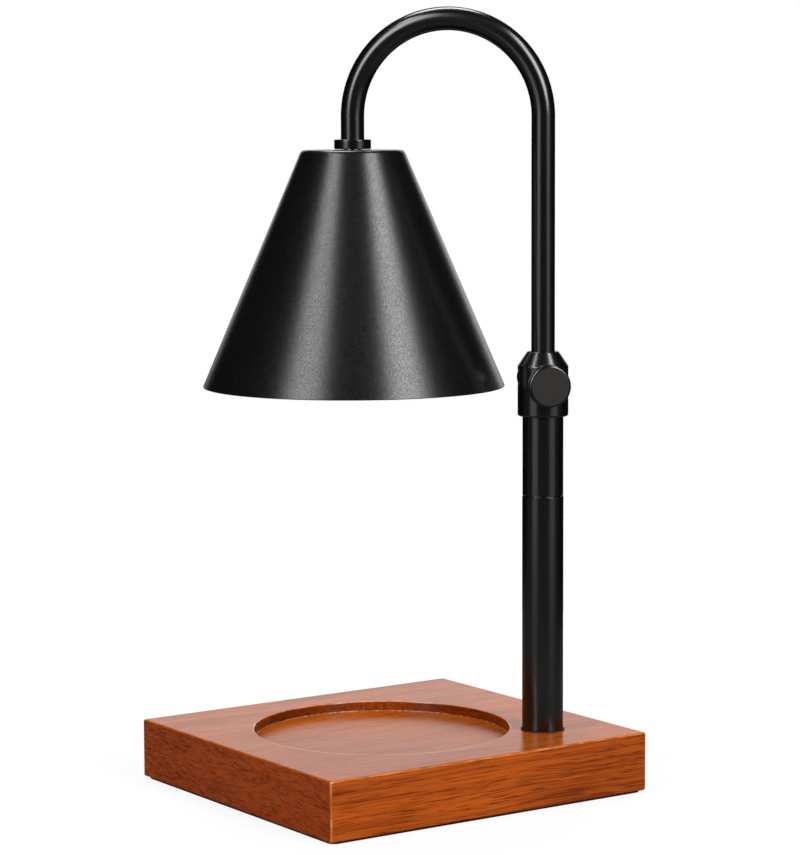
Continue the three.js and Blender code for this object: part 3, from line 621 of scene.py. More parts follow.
# How far the grain wanders, in metres, and how far the end grain is turned, in radians
LONG_BEND, END_BEND, END_TILT = (0, 0.007, 0.007), (0, 0.003, 0.003), (0.06, 0, 0)

# How far a surface faces along an axis where it starts to count as square to it, and fully does
SQUARE = (0.6, 0.9)

# Where the long sides darken along X and the ends along Y, in metres, and how much
SIDE_SHADE, SIDE_DARK = (0.005, 0.05), 0.25
END_SHADE, END_DARK = (0.0, 0.07), 0.15

# How much softer the grain is on the upper faces, and how much darker these are all over
TOP_SOFT, TOP_DARK = 0.3, 0.12

# How far off the recess's radius these begin, in metres: the wood round it, the band of painted
# glint on its rim, what lies past that band, and past it where it is wide
OUTSIDE, BAND = (0.0004, 0.001), (0.0002, 0.0005)
PAST_BAND, PAST_WIDE = (0.0005, 0.0008), (0.0013, 0.0018)

# The band is wide on one side: the direction away from that side, and where along it this ends
BAND_AWAY, BAND_END = (0.57, 0.82), (-0.046, -0.02)

# The seam of painted glints at the foot of the recess's wall: how far off the radius it begins, and
# how high it ends
SEAM, SEAM_TOP = (-0.0007, -0.0002), (0.0003, 0.0007)


class Recess:
    """Where a point of the wood is round the recess."""

    def __init__(self, paint, x, y):
        base = bpy.context.scene.lamp_base
        self.paint, self.radius = paint, base.recess
        self.x, self.y = x - base.recess_x, y - base.recess_y
        self.square = self.x * self.x + self.y * self.y
        self.inside = 1 - self.rise(*OUTSIDE)

    def rise(self, low, high):
        """Rises outwards between two distances off the radius, by the squared distance."""
        return self.paint.ramp(self.square, (self.radius + low) ** 2, (self.radius + high) ** 2)

    def band(self):
        """The band on the rim, wide on one side."""
        thin, wide = 1 - self.rise(*PAST_BAND), 1 - self.rise(*PAST_WIDE)
        away = self.x * BAND_AWAY[0] + self.y * BAND_AWAY[1]
        near = 1 - self.paint.ramp(away, *BAND_END)
        return self.rise(*BAND) * (thin + near * (wide - thin))


def wood_grain(paint, colours, place, facing):
    """The wood's colour, the height of its grain, and its broad bands."""
    x, y, _ = paint.split(place)
    over, along, up = facing
    end, side = paint.ramp(abs(over), *SQUARE), paint.ramp(abs(along), *SQUARE)
    level = paint.ramp(up, *SQUARE)
    light, dark = tuple(colours.wood_light), tuple(colours.wood_dark)

    bent = paint.drift(place, (9, 30, 30), LONG_BEND)
    streaks, (lines, bands, *_) = paint.layers(bent, LONG_GRAIN)
    streaks = streaks + paint.ramp(x, *SIDE_SHADE) * side * SIDE_DARK
    streaks = streaks * (1 - level * TOP_SOFT) + level * TOP_DARK

    curled = paint.drift(place, (60, 40, 60), END_BEND)
    strokes, (flecks, *_) = paint.layers(curled, END_GRAIN, END_TILT)
    strokes = strokes + paint.ramp(y, *END_SHADE) * END_DARK
    ends = paint.tinted(1.0, paint.mix(strokes, light, dark), colours.wood_end)

    wood = paint.mix(end, paint.mix(streaks, light, dark), ends)
    # Painted shade: the upper faces' colour is multiplied down and tinted
    wood = paint.tinted(level, wood, colours.wood_top_shade)
    return wood, lines * (1 - end) + flecks * end, bands


def lacquered_wood(paint, colours):
    """Reddish brown wood under a glossy lacquer: long grain along X, short strokes at its ends."""
    place = paint.place()
    x, y, z = paint.split(place)
    facing = over, along, up = paint.facing()
    wood, grain, bands = wood_grain(paint, colours, place, facing)
    # A noise that breaks up the painted highlights and glints, and the lacquer's coat
    glint_noise = paint.noise(place, 160, detail=4)

    # Painted shade: the recess's wall is darker, most of all towards -X and +Y
    recess = Recess(paint, x, y)
    painted_wall_shade = paint.ramp(recess.y - recess.x, 0.02, 0.065, least=0.6)
    wall = recess.inside * (1 - paint.ramp(abs(up), 0.3, 0.7)) * painted_wall_shade
    wood = paint.tinted(wall, wood, colours.wood_wall_shade)

    # Painted highlights on the upper edges and the upright corners, weaker on the edges over the
    # end grain
    rims = paint.hump(up, (0.3, 0.55), (0.75, 0.92))
    rims = rims * (1 - paint.ramp(abs(over), 0.3, 0.6) * 0.8)
    corners = paint.ramp(abs(over * along), 0.3, 0.46) * (1 - recess.inside)
    painted_edge_highlight = (rims + corners) * paint.ramp(glint_noise, 0.4, 0.65, least=0.12, most=0.57)
    wood = paint.mix(painted_edge_highlight, wood, tuple(colours.wood_edge_highlight))

    # Painted glints on the recess's rim, and in dots along the foot of its wall
    band = recess.band() * paint.ramp(up, *SQUARE)
    rim_glint = band * paint.ramp(glint_noise, 0.35, 0.6, least=0.15, most=0.4)
    seam_glint_dots = paint.ramp(paint.noise(place, 1100), 0.45, 0.65)
    above_floor = z - (WOOD_TOP - bpy.context.scene.lamp_base.depth)
    seam = recess.inside * recess.rise(*SEAM) * (1 - paint.ramp(above_floor, *SEAM_TOP))
    wood = paint.mix(seam * seam_glint_dots * 0.3 + rim_glint, wood, tuple(colours.wood_glint))

    # Lacquer is thickest on rounded edges, and has run unevenly
    edges = paint.hump(up, (0.05, 0.2), (0.9, 0.98)) + corners
    paint.set(
        Base_Color=wood,
        Roughness=0.2 + 0.08 * bands,
        Specular_IOR_Level=0.22,
        Coat_Weight=edges * paint.ramp(glint_noise, 0.4, 0.6, least=0.35),
        Coat_Roughness=0.1,
        Normal=paint.bump(grain, 0.00003, 0.4),
    )


def satin_black(paint, colours):
    """Smooth satin black paint."""
    speckle = paint.noise(paint.place(), 900, detail=1)
    paint.set(
        Base_Color=tuple(colours.satin),
        Roughness=0.2 + 0.03 * speckle,
        Specular_IOR_Level=0.78,
    )


def powder_black(paint, colours):
    """Black powder coat with a fine leathery texture, smoother on the shade's flat top."""
    place = paint.place()
    coarse, fine = (paint.noise(place, scale, detail=1) for scale in (1800, 2700))
    texture = coarse * 0.5 + fine * 0.5
    sides = 1 - paint.ramp(paint.facing()[2], 0.5, 0.8)
    paint.set(
        Base_Color=paint.mottled(colours.powder, paint.ramp(texture, 0.35, 0.65), 0.85),
        Roughness=0.22 + 0.06 * texture,
        Specular_IOR_Level=0.28,
        Coat_Weight=paint.ramp(texture, 0.38, 0.62, least=0.16, most=0.76),
        Coat_Roughness=0.25,
        Normal=paint.bump(texture * sides, 0.00005, 1.0),
    )


def knob_grey(paint, colours):
    """Matt grey with a fine speckle."""
    speckle = paint.noise(paint.place(), 3000)
    paint.set(
        Base_Color=paint.mottled(colours.knob, speckle, 0.2),
        Roughness=0.5 + 0.1 * speckle,
        Specular_IOR_Level=0.35,
        Normal=paint.bump(speckle, 0.00002, 0.4),
    )


def metal(paint, colours, tint, rough):
    """Plain metal with faint turning marks and stains."""
    place = paint.place()
    marks = paint.noise(place, (300, 300, 4000))
    stains = paint.noise(place, 120, detail=3)
    paint.set(
        Base_Color=paint.mottled(getattr(colours, tint), stains, 0.15),
        Metallic=1.0,
        Roughness=rough + 0.12 * marks,
        Normal=paint.bump(marks, 0.00001, 0.5),
    )


def moulded(paint, colours, tint, rough, scale, depth, spread=0.08, uneven=0.1):
    """A plain moulded or fired surface with a soft mottle."""
    mottle = paint.noise(paint.place(), scale, detail=3)
    paint.set(
        Base_Color=paint.mottled(getattr(colours, tint), mottle, spread),
        Roughness=rough + uneven * mottle,
        Normal=paint.bump(mottle, depth, 0.5),
    )


def bulb_mirror(paint, colours):
    """Bright coating inside the reflector."""
    haze = paint.noise(paint.place(), 500)
    paint.set(Base_Color=tuple(colours.mirror), Metallic=1.0, Roughness=0.05 + 0.08 * haze)


def clear_glass(paint, colours):
    """Clear pressed glass with a slight waviness."""
    waves = paint.noise(paint.place(), 220, detail=1)
    paint.set(
        Base_Color=(1, 1, 1, 1),
        Roughness=0.02 + 0.02 * waves,
        Transmission_Weight=1.0,
        IOR=1.47,
        Normal=paint.bump(waves, 0.0001, 0.3),
    )


# How rough the moulded finishes are, their mottle in features per metre, and its depth in metres;
# rubber's also shows more in its colour and its gloss
NYLON = dict(tint="nylon", rough=0.4, scale=700, depth=0.00001)
CERAMIC = dict(tint="ceramic", rough=0.45, scale=1500, depth=0.00003)
SILICONE = dict(tint="silicone", rough=0.5, scale=900, depth=0.00002)
RUBBER = dict(tint="rubber", rough=0.65, scale=1800, depth=0.00004, spread=0.3, uneven=0.2)

# The finish of each of the record's slots: its name, what makes it, and with which numbers
FINISHES = {
    "wood": ("lacquered_wood", lacquered_wood, {}),
    "black_metal": ("satin_black", satin_black, {}),
    "black_powder": ("powder_black", powder_black, {}),
    "knob_grey": ("knob_grey", knob_grey, {}),
    "mirror": ("bulb_mirror", bulb_mirror, {}),
    "clear_glass": ("clear_glass", clear_glass, {}),
    "steel": ("zinc_steel", metal, dict(tint="steel", rough=0.26)),
    "brass": ("plain_brass", metal, dict(tint="brass", rough=0.2)),
    "nylon": ("natural_nylon", moulded, NYLON),
    "ceramic": ("fired_ceramic", moulded, CERAMIC),
    "silicone": ("silicone_sleeve", moulded, SILICONE),
    "black_rubber": ("black_rubber", moulded, RUBBER),
}


def look(slot):
    """The finish of a slot, made when it is first asked for."""
    name, make, numbers = FINISHES[slot]
    title = f"finish_{name}"
    if title not in bpy.data.materials:
        paint = Paint(bpy.data.materials.new(title))
        make(paint, bpy.context.scene.lamp_colours, **numbers)
    return bpy.data.materials[title]


# Pieces


class LAMP_OT_wood_block(bpy.types.Operator):
    """Model the wooden base with its recess and its wiring pocket"""

    bl_idname = "lamp.wood_block"
    bl_label = "Wooden base"

    def execute(self, context):
        sizes = context.scene.lamp_base
        low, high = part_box("wood_base")
        block = round_box("wood_block", low, high, sizes.corner)
        for level in (low.z, high.z):
            round_edges(block, sizes.edge, at_level(level), segments=5)
        self.cut_recess(block, sizes, high.z)
        self.cut_underside(block, sizes, low.z, high.z)
        finish_piece(block, "base", "wood_base", "wood")
        return {"FINISHED"}

    @staticmethod
    def cut_recess(block, sizes, top):
        """The round recess, with a rounded lip and a small fillet round its floor."""
        floor = top - sizes.depth
        centre = Vector((sizes.recess_x, sizes.recess_y, 0))
        carve(block, put(rod(sizes.recess, floor, top + OVERRUN, steps=256), centre))

        def on_circle(level):
            return lambda a, b: at_level(level)(a, b) and all(
                abs((end - centre).xy.length - sizes.recess) < SPECK for end in (a, b)
            )

        round_edges(block, sizes.lip, on_circle(top), segments=4)
        round_edges(block, sizes.fillet, on_circle(floor), segments=3)

    @staticmethod
    def cut_underside(block, sizes, bottom, top):
        """The wiring pocket, the seat of its cover, and the holes for post, cord and screws."""
        below = Vector((0, 0, bottom - OVERRUN))
        low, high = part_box("cover_plate")
        seat = Vector((GAP, GAP, 0))
        low_seat, high_seat = low - seat, high + seat
        low_seat.z, high_seat.z = below.z, high.z + GAP
        carve(block, round_box("seat", low_seat, high_seat, sizes.cover_corner))
        margin = Vector((sizes.cover_side, sizes.cover_end, 0))
        low_pocket, high_pocket = low + margin, high - margin
        low_pocket.z, high_pocket.z = below.z, bottom + sizes.pocket_depth
        carve(block, round_box("pocket", low_pocket, high_pocket, sizes.pocket_corner))
        carve(block, put(rod(sizes.post_hole, below.z, top + OVERRUN), (*POST, 0)))
        gland, side = middle("cord_gland"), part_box("wood_base")[1].x
        hole = rod(sizes.gland_neck + GAP, high_pocket.x - OVERRUN, side + OVERRUN)
        carve(block, put(hole, (0, gland.y, gland.z), outward(0)))
        for number in range(1, 5):
            place = middle(f"cover_screw_{number}")
            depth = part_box(f"cover_screw_{number}")[1].z + GAP
            hole = rod(sizes.screw_hole, below.z, depth, steps=24)
            carve(block, put(hole, (*place.xy, 0)))


class LAMP_OT_cord_gland(bpy.types.Operator):
    """Model the rubber gland in the back of the base"""

    bl_idname = "lamp.cord_gland"
    bl_label = "Cord gland"

    def execute(self, context):
        sizes = context.scene.lamp_base
        low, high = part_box("cord_gland")
        back = high.x - sizes.gland_thickness
        edge = sizes.gland_thickness / 2
        flange = arc(sizes.gland_flange - edge, high.x - edge, edge, 0, 90)
        mouth = arc(sizes.gland_bore + edge, high.x - edge, edge, 90, 180)
        outline = [
            (sizes.gland_bore, low.x),
            (sizes.gland_neck, low.x),
            (sizes.gland_neck, back),
            (sizes.gland_flange, back),
            *flange,
            *mouth,
            (sizes.gland_bore, low.x),
        ]
        gland = turned("gland_bush", outline, steps=64)
        at = (0, *middle("cord_gland").yz)
        finish_piece(gland, "base", "cord_gland", "black_rubber", at, outward(0))
        return {"FINISHED"}


class LAMP_OT_post(bpy.types.Operator):
    """Model the gasket and the two tubes of the post"""

    bl_idname = "lamp.post"
    bl_label = "Post"

    def execute(self, context):
        base, sizes = context.scene.lamp_base, context.scene.lamp_post
        low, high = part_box("post_gasket")
        radius = (high.x - low.x) / 2
        edge = (high.z - low.z) / 2
        lip = arc(radius - edge, low.z + edge, edge, -90, 90)
        start = (base.post_hole, low.z)
        gasket = turned("post_ring", [start, *lip, (base.post_hole, high.z), start])
        finish_piece(gasket, "base", "post_gasket", "black_rubber", (*POST, 0), smooth=50)
        for node, name in (("lower_tube", "post_lower"), ("upper_tube", "post_upper")):
            low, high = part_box(node)
            radius = (high.x - low.x) / 2
            tube = sleeve(name, radius, radius - sizes.wall, low.z, high.z)
            if node == "upper_tube":
                carve_bores(tube, sizes)
            soften(tube, sizes.soft)
            finish_piece(tube, "base", node, "black_metal", (*POST, 0))
        return {"FINISHED"}


def carve_bores(piece, sizes):
    """Cuts the ways of the lock screw and the collar screw's shank, with the post at the origin."""
    for node, radius, reach, azimuth in (
        ("lock_knob", sizes.lock_screw, sizes.collar + OVERRUN, sizes.knob_azimuth),
        ("collar_screw", sizes.button_shank, sizes.collar, sizes.knob_azimuth - math.pi / 2),
    ):
        bore = rod(radius + GAP, sizes.lock_screw, reach)
        carve(piece, put(bore, (0, 0, middle(node).z), outward(azimuth)))


class LAMP_OT_collar(bpy.types.Operator):
    """Model the clamp collar on the post and the screw that holds it"""

    bl_idname = "lamp.collar"
    bl_label = "Collar"

    def execute(self, context):
        sizes = context.scene.lamp_post
        low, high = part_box("upper_tube")
        bore = (high.x - low.x) / 2 + GAP
        roof = high.z + GAP + sizes.flange + GAP
        mouth = context.scene.lamp_arm.tube + GAP
        foot = arc(sizes.collar - sizes.foot, COLLAR_FOOT + sizes.foot, sizes.foot, -90, 0)
        collar = turned(
            "clamp_collar",
            [
                (bore, COLLAR_FOOT),
                *foot,
                (sizes.collar, COLLAR_TOP - sizes.cone),
                (sizes.cone_top, COLLAR_TOP),
                (mouth, COLLAR_TOP),
                (mouth, roof),
                (bore, roof),
                (bore, COLLAR_FOOT),
            ],
            steps=128,
        )
        soften(collar, sizes.shoulder)
        carve_bores(collar, sizes)
        azimuth = sizes.knob_azimuth - math.pi / 2
        seat = sizes.collar - sizes.button_seat
        level = middle("collar_screw").z
        pocket = rod(sizes.button + GAP, seat, sizes.collar + OVERRUN)
        carve(collar, put(pocket, (0, 0, level), outward(azimuth)))
        finish_piece(collar, "base", "collar", "black_metal", (*POST, 0))
        screw = self.button_screw(sizes, bore - sizes.wall - GAP, seat + GAP)
        at = (*POST, level)
        finish_piece(screw, "base", "collar_screw", "black_metal", at, outward(azimuth))
        return {"FINISHED"}

    @staticmethod
    def button_screw(sizes, tip, seat):
        """A low domed screw with a hexagon socket; its axis is +Z."""
        crown = seat + sizes.button_dome
        sphere = (sizes.button**2 + sizes.button_dome**2) / (2 * sizes.button_dome)
        half = math.degrees(math.asin(sizes.button / sphere))
        dome = arc(0, crown - sphere, sphere, 90 - half, 90, steps=10)
        dome[-1] = (0, crown)
        outline = [(0, tip), (sizes.button_shank, tip), (sizes.button_shank, seat), *dome]
        screw = turned("collar_button", outline, steps=64)
        return carve(screw, rod(sizes.button_socket, seat, crown + OVERRUN, steps=6))


class LAMP_OT_knob(bpy.types.Operator):
    """Model the lock knob"""

    bl_idname = "lamp.knob"
    bl_label = "Lock knob"

    def execute(self, context):
        sizes = context.scene.lamp_post
        back = sizes.collar + sizes.standoff
        front = back + sizes.thickness
        bore = sizes.lock_screw + GAP
        rim, edge = back + sizes.rim, sizes.face + sizes.groove
        steep = math.radians(KNOB_SLOPE)
        centre = edge - sizes.bevel * math.cos(steep)
        height = front - sizes.bevel * math.sin(steep)
        start = math.degrees(math.acos((sizes.knob - centre) / sizes.bevel))
        curve = arc(centre, height, sizes.bevel, start, KNOB_SLOPE, steps=8)
        waist = (sizes.knob_waist, curve[0][1] - sizes.bevel / 2)
        corner = sizes.knob_back - sizes.chamfer
        back_rim = arc(corner, rim - sizes.chamfer, sizes.chamfer, 0, 90)
        knob = turned(
            "knob_disc",
            [
                (0, back + sizes.bore),
                (bore, back + sizes.bore),
                (bore, back),
                (corner, back),
                (sizes.knob_back, back + sizes.chamfer),
                *back_rim[1:],
                (sizes.knob_waist, rim),
                waist,
                (sizes.knob, waist[1]),
                *curve,
                (edge, front - sizes.inlay),
                (0, front - sizes.inlay),
            ],
            steps=128,
        )
        place = (*POST, middle("lock_knob").z), outward(sizes.knob_azimuth)
        finish_piece(knob, "knob", "lock_knob", "knob_grey", *place, finish="black_metal")
        mark, floor = sizes.centre_mark, front - sizes.inlay + sizes.groove
        outline = [(0, floor), (sizes.face, floor), (sizes.face, front)]
        outline += [(mark, front), (0, front - mark)]
        disc = turned("knob_face", outline, steps=128)
        soften(disc, sizes.groove / 3, segments=2, sharper_than=60)
        finish_piece(disc, "knob", "lock_knob", "knob_grey", *place)
        return {"FINISHED"}


class LAMP_OT_arm(bpy.types.Operator):
    """Model the bent tube that carries the shade"""

    bl_idname = "lamp.arm"
    bl_label = "Arm"

    def execute(self, context):
        sizes = context.scene.lamp_arm
        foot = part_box("arm_tube")[0].z
        reach = HEAD - POST
        centre = (reach.length / 2, 0, sizes.arch)
        bpy.ops.mesh.primitive_circle_add(
            vertices=sizes.sides, radius=sizes.tube, location=(0, 0, foot)
        )
        arm = put(named("swan_arm"))
        bpy.ops.object.mode_set(mode="EDIT")
        bpy.ops.mesh.select_all(action="SELECT")
        rise = (0, 0, sizes.arch - foot)
        bpy.ops.mesh.extrude_region_move(TRANSFORM_OT_translate={"value": rise})
        bpy.ops.mesh.spin(steps=sizes.bends, angle=math.pi, center=centre, axis=(0, -1, 0))
        drop = (0, 0, SHADE_TOP + GAP - sizes.arch)
        bpy.ops.mesh.extrude_region_move(TRANSFORM_OT_translate={"value": drop})
        close_mesh()
        modify(arm, "SOLIDIFY", thickness=sizes.wall, offset=-1)
        turn = (0, 0, math.atan2(reach.y, reach.x))
        finish_piece(arm, "arm", "arm_tube", "black_metal", (*POST, 0), turn)
        return {"FINISHED"}


class LAMP_OT_shade(bpy.types.Operator):
    """Model the conical shade and the ring on top of it"""

    bl_idname = "lamp.shade"
    bl_label = "Shade"

    def execute(self, context):
        sizes = context.scene.lamp_shade
        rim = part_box("shade")[0].z
        slope = (sizes.rim - sizes.top) / (SHADE_TOP - rim)
        lean = math.atan(slope)

        def face(level, depth):
            radius = sizes.top + (SHADE_TOP - level) * slope - depth / math.cos(lean)
            return (radius, level)

        centre = face(SHADE_TOP - sizes.edge, sizes.edge)
        outer = arc(*centre, sizes.edge, math.degrees(lean), 90, steps=8)
        inner = arc(*centre, sizes.edge - sizes.wall, 90, math.degrees(lean), steps=8)
        hem = rim + sizes.hem_height
        thick = sizes.wall + sizes.hem
        start = face(rim, thick)
        outline = [start, face(rim, 0), *outer]
        outline += [(sizes.hole, SHADE_TOP), (sizes.hole, SHADE_TOP - sizes.wall)]
        outline += [*inner, face(hem, sizes.wall), face(hem, thick), start]
        shade = turned("shade_cone", outline, sizes.steps)
        round_edges(shade, sizes.hem_soft, at_level(rim), segments=3)
        finish_piece(shade, "arm", "shade", "black_powder", (*HEAD, 0))
        low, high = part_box("shade_collar")
        ring = sleeve("shade_ring", sizes.ring, context.scene.lamp_arm.tube + GAP, low.z, high.z)
        soften(ring, sizes.ring_edge)
        finish_piece(ring, "arm", "shade_collar", "black_metal", (*HEAD, 0))
        return {"FINISHED"}


class LAMP_OT_bulb(bpy.types.Operator):
    """Model the reflector bulb and its socket in the shade"""

    bl_idname = "lamp.bulb"
    bl_label = "Bulb and socket"

    def execute(self, context):
        sizes = context.scene.lamp_bulb
        low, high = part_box("bulb_reflector")
        lip = low.z + sizes.lip
        shoulder = high.z - sizes.floor

        def bowl(depth):
            neck, rim = (sizes.neck - depth) ** 2, (sizes.rim - depth) ** 2
            shares = [step / sizes.rings for step in range(sizes.rings + 1)]
            return [
                (math.sqrt(neck + share * (rim - neck)), shoulder + share * (lip - shoulder))
                for share in shares
            ]

        inner = sizes.rim - sizes.wall
        hole = sizes.capsule + GAP
        outline = [(inner, low.z), (sizes.rim, low.z), *reversed(bowl(0)), (sizes.neck, high.z)]
        outline += [(hole, high.z), (hole, shoulder), *bowl(sizes.wall), (inner, low.z)]
        reflector = turned("reflector_bowl", outline, sizes.facets)
        finish_piece(reflector, "bulb", "bulb_reflector", "mirror", (*HEAD, 0), smooth=5)
        low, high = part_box("bulb_lens")
        radius = inner - GAP
        glass = turned("front_glass", [(0, low.z), (radius, low.z), (radius, high.z), (0, high.z)])
        soften(glass, sizes.wall / 4)
        finish_piece(glass, "bulb", "bulb_lens", "clear_glass", (*HEAD, 0))
        self.copies()
        return {"FINISHED"}

    @staticmethod
    def copies():
        """The socket's pieces and the bulb's cap keep the CAD's forms, with rounded edges."""
        for node, name, body, slot, radius in (
            ("lamp_socket", "socket_shell", "arm", "ceramic", 0.0004),
            ("socket_stirrup", "stirrup_strap", "arm", "steel", 0.0003),
            ("stirrup_screw_1", "strap_screw_1", "arm", "steel", 0.0002),
            ("stirrup_screw_2", "strap_screw_2", "arm", "steel", 0.0002),
            ("shade_nut", "hanger_nut", "arm", "steel", 0.0003),
            ("shade_washer", "hanger_washer", "arm", "steel", 0.0002),
            ("bulb_cap", "bulb_base", "bulb", "ceramic", 0.0004),
        ):
            finish_piece(rounded_copy(node, name, radius), body, node, slot)


class LAMP_OT_node_finishes(bpy.types.Operator):
    """Give every CAD node its finish by its slot in the record"""

    bl_idname = "lamp.node_finishes"
    bl_label = "Finishes of the CAD nodes"

    def execute(self, context):
        for part in frame["record"]["subparts"]:
            for slot in frame["nodes"][part["node"]].material_slots:
                slot.material = look(part["material_slot"])
        return {"FINISHED"}


# Studio

# Where the camera stands, the nearest that it sees, and the width of its sensor in millimetres
CAMERA_PLACE, CAMERA_NEAR, SENSOR = (-0.672908, -0.982478, 0.275885), 0.05, 36

# The point that the studio's lamps face
AIM = Vector((0, 0, 0.14))


class Light(NamedTuple):
    """An area light: its direction in degrees, its share of a power of the studio, and its size."""

    azimuth: float
    elevation: float
    power: str
    share: float
    width: float
    height: float
    shape: str = "RECTANGLE"
    distance: float = 1.3


# The two tall softboxes are brighter in the middle, which is a light of its own just before each
LIGHTS = {
    "softbox_left": Light(-42, 30, "left_power", 0.78, 0.63, 1.15, "ELLIPSE"),
    "middle_left": Light(-42, 30, "left_power", 0.2, 0.42, 0.9, "ELLIPSE", 1.28),
    "softbox_right": Light(46, 32, "right_power", 0.78, 0.63, 1.15, "ELLIPSE"),
    "middle_right": Light(46, 32, "right_power", 0.2, 0.42, 0.9, "ELLIPSE", 1.28),
    "low_left": Light(-46, 0, "low_power", 1, 0.7, 0.5),
    "low_right": Light(52, 0, "low_power", 0.75, 0.7, 0.5),
    "high_left": Light(-62, 55, "high_power", 1, 0.2, 0.2),
    "high_right": Light(63, 55, "high_power", 1, 0.2, 0.2),
    "softbox_back": Light(-168, 66, "back_power", 1, 0.75, 0.38),
}

# The floor's radius, how bright it is in the middle, and how far out it turns white
FLOOR_RADIUS, FLOOR_MIDDLE, FLOOR_WHITE = 0.42, 0.86, (0.12, 0.4)

# The directions of the glow behind the lamp and of the gap between the tall softboxes, as azimuth
# and elevation, and how close to each a direction has to lie, as the cosine of the angle
GLOW_WAY, GLOW_NEAR = (176, 0), (0.85, 0.97)
BETWEEN_WAY, BETWEEN_NEAR = (2, 46), (0.92, 0.99)

# Where the front ends, as the cosine to the glow's direction, and how high, as the sine of the
# elevation, the glow starts and the ground ends
FRONT_END, GLOW_FOOT, GROUND_TOP = (-0.1, 0.3), (-0.04, 0.05), (-0.11, -0.02)


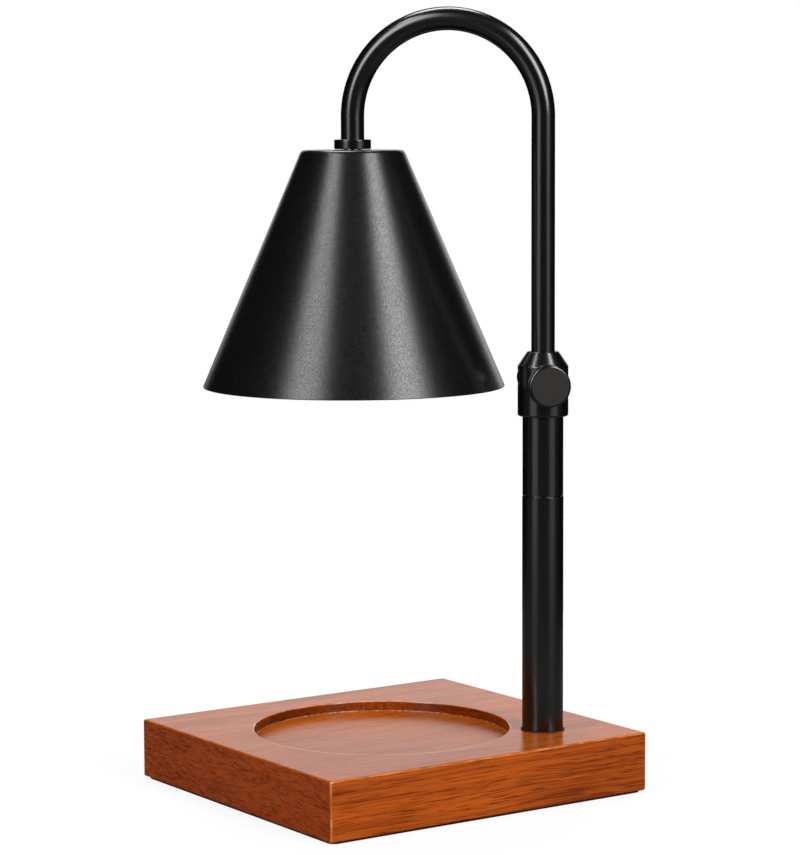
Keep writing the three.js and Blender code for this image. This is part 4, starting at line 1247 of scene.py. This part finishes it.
class LAMP_OT_stage(bpy.types.Operator):
    """Set up the camera, the lights, the floor and the light from all round"""

    bl_idname = "lamp.stage"
    bl_label = "Studio"

    def execute(self, context):
        stage = context.scene.lamp_stage
        self.camera(context, stage)
        for name, light in LIGHTS.items():
            self.light(name, light, stage)
        self.floor()
        self.world(context, stage)
        context.scene.view_settings.view_transform = "Standard"
        return {"FINISHED"}

    @staticmethod
    def camera(context, stage):
        """The camera looks down at the pitch and a little rolled."""
        bpy.ops.object.camera_add(location=CAMERA_PLACE)
        camera = context.object
        camera.name = "camera"
        camera.data.lens = stage.lens
        camera.data.sensor_width = SENSOR
        camera.data.clip_start = CAMERA_NEAR
        turns = ((-stage.heading, "Z"), (math.pi / 2 - stage.pitch, "X"), (stage.roll, "Z"))
        heading, pitch, roll = (Matrix.Rotation(turn, 3, axis) for turn, axis in turns)
        camera.rotation_euler = (heading @ pitch @ roll).to_euler()
        context.scene.camera = camera

    @staticmethod
    def direction(stage, azimuth, elevation):
        """A direction from the lamp, with the azimuth from the camera's side towards its right."""
        flat, rise = math.radians(azimuth) - stage.heading, math.radians(elevation)
        level = math.cos(rise)
        return Vector((math.sin(flat) * level, -math.cos(flat) * level, math.sin(rise)))

    def light(self, name, light, stage):
        """An area light that faces the lamp."""
        away = self.direction(stage, light.azimuth, light.elevation)
        bpy.ops.object.light_add(type="AREA", location=AIM + away * light.distance)
        softbox = bpy.context.object
        softbox.name = softbox.data.name = name
        softbox.rotation_euler = away.to_track_quat("Z", "Y").to_euler()
        softbox.data.shape = light.shape
        softbox.data.size = light.width
        softbox.data.size_y = light.height
        softbox.data.energy = getattr(stage, light.power) * light.share

    def floor(self):
        """A pale sheet under the lamp, white towards its edge, that keeps the lamp's shadow."""
        bpy.ops.mesh.primitive_circle_add(vertices=128, radius=FLOOR_RADIUS, fill_type="NGON")
        floor = named("floor_sheet")
        put(floor, (0, 0, -SPECK))
        sheet = bpy.data.materials.new("pale_floor")
        paint = Paint(sheet)
        place = paint.place()
        fibre = paint.noise(place, 900)
        white = paint.ramp(paint.vectors("LENGTH", place), *FLOOR_WHITE, least=FLOOR_MIDDLE)
        camera, _, through = self.rays(paint)
        paint.set(
            Base_Color=(0.1, 0.1, 0.1, 1),
            Roughness=0.85 + 0.1 * fibre,
            Emission_Color=paint.grey((camera + through) * white),
            Emission_Strength=1.0,
        )
        floor.data.materials.append(sheet)

    @staticmethod
    def rays(paint):
        """Whether a ray comes straight from the camera, from a reflection or through glass."""
        return [
            paint.add("ShaderNodeLightPath", output=f"Is {kind} Ray")
            for kind in ("Camera", "Glossy", "Transmission")
        ]

    def world(self, context, stage):
        """White for the camera; for reflections dim, with a glow, a gap and a ground."""
        context.scene.world = context.scene.world or bpy.data.worlds.new("studio")
        paint = Paint(context.scene.world)
        where = paint.add("ShaderNodeTexCoord", output="Generated")
        rise = paint.split(where)[2]
        behind, between = (
            paint.vectors("DOT_PRODUCT", where, self.direction(stage, *way))
            for way in (GLOW_WAY, BETWEEN_WAY)
        )
        glow = paint.ramp(behind, *GLOW_NEAR) * paint.ramp(rise, *GLOW_FOOT) * stage.glow
        gap = paint.ramp(between, *BETWEEN_NEAR) * stage.middle
        ground = (1 - paint.ramp(behind, *FRONT_END)) * (1 - paint.ramp(rise, *GROUND_TOP))
        mirrored = stage.dim + glow + gap + ground * stage.under
        camera, glossy, through = self.rays(paint)
        diffuse = 1 - camera - through - glossy
        light = camera + through + glossy * mirrored + diffuse * stage.fill
        paint.set(Color=paint.grey(light), Strength=1.0)


class LAMP_PT_panel(bpy.types.Panel):
    """The lamp's operators and sizes in the sidebar"""

    bl_label = "Candle Warmer Lamp"
    bl_space_type = "VIEW_3D"
    bl_region_type = "UI"
    bl_category = "Lamp"

    def draw(self, context):
        for operator in OPERATORS:
            self.layout.operator(operator.bl_idname)
        for group in PROPERTY_GROUPS:
            box = self.layout.box()
            owner = getattr(context.scene, group)
            for name in owner.bl_rna.properties.keys():
                if name not in ("rna_type", "name"):
                    box.prop(owner, name)


OPERATORS = (
    LAMP_OT_stage,
    LAMP_OT_node_finishes,
    LAMP_OT_wood_block,
    LAMP_OT_cord_gland,
    LAMP_OT_post,
    LAMP_OT_collar,
    LAMP_OT_knob,
    LAMP_OT_arm,
    LAMP_OT_shade,
    LAMP_OT_bulb,
)

PROPERTY_GROUPS = {
    "lamp_base": BaseSizes,
    "lamp_post": PostSizes,
    "lamp_arm": ArmSizes,
    "lamp_shade": ShadeSizes,
    "lamp_bulb": BulbSizes,
    "lamp_colours": LampColours,
    "lamp_stage": StageSettings,
}


def register():
    for group, kind in PROPERTY_GROUPS.items():
        bpy.utils.register_class(kind)
        setattr(bpy.types.Scene, group, bpy.props.PointerProperty(type=kind))
    for kind in (*OPERATORS, LAMP_PT_panel):
        bpy.utils.register_class(kind)


def unregister():
    for kind in (LAMP_PT_panel, *reversed(OPERATORS)):
        bpy.utils.unregister_class(kind)
    for group, kind in PROPERTY_GROUPS.items():
        delattr(bpy.types.Scene, group)
        bpy.utils.unregister_class(kind)


def main():
    register()
    bpy.ops.lamp.stage()
    bpy.ops.lamp.node_finishes()
    bpy.ops.lamp.wood_block()
    bpy.ops.lamp.cord_gland()
    bpy.ops.lamp.post()
    bpy.ops.lamp.collar()
    bpy.ops.lamp.knob()
    bpy.ops.lamp.arm()
    bpy.ops.lamp.shade()
    bpy.ops.lamp.bulb()


if __name__ == "__main__":
    main()
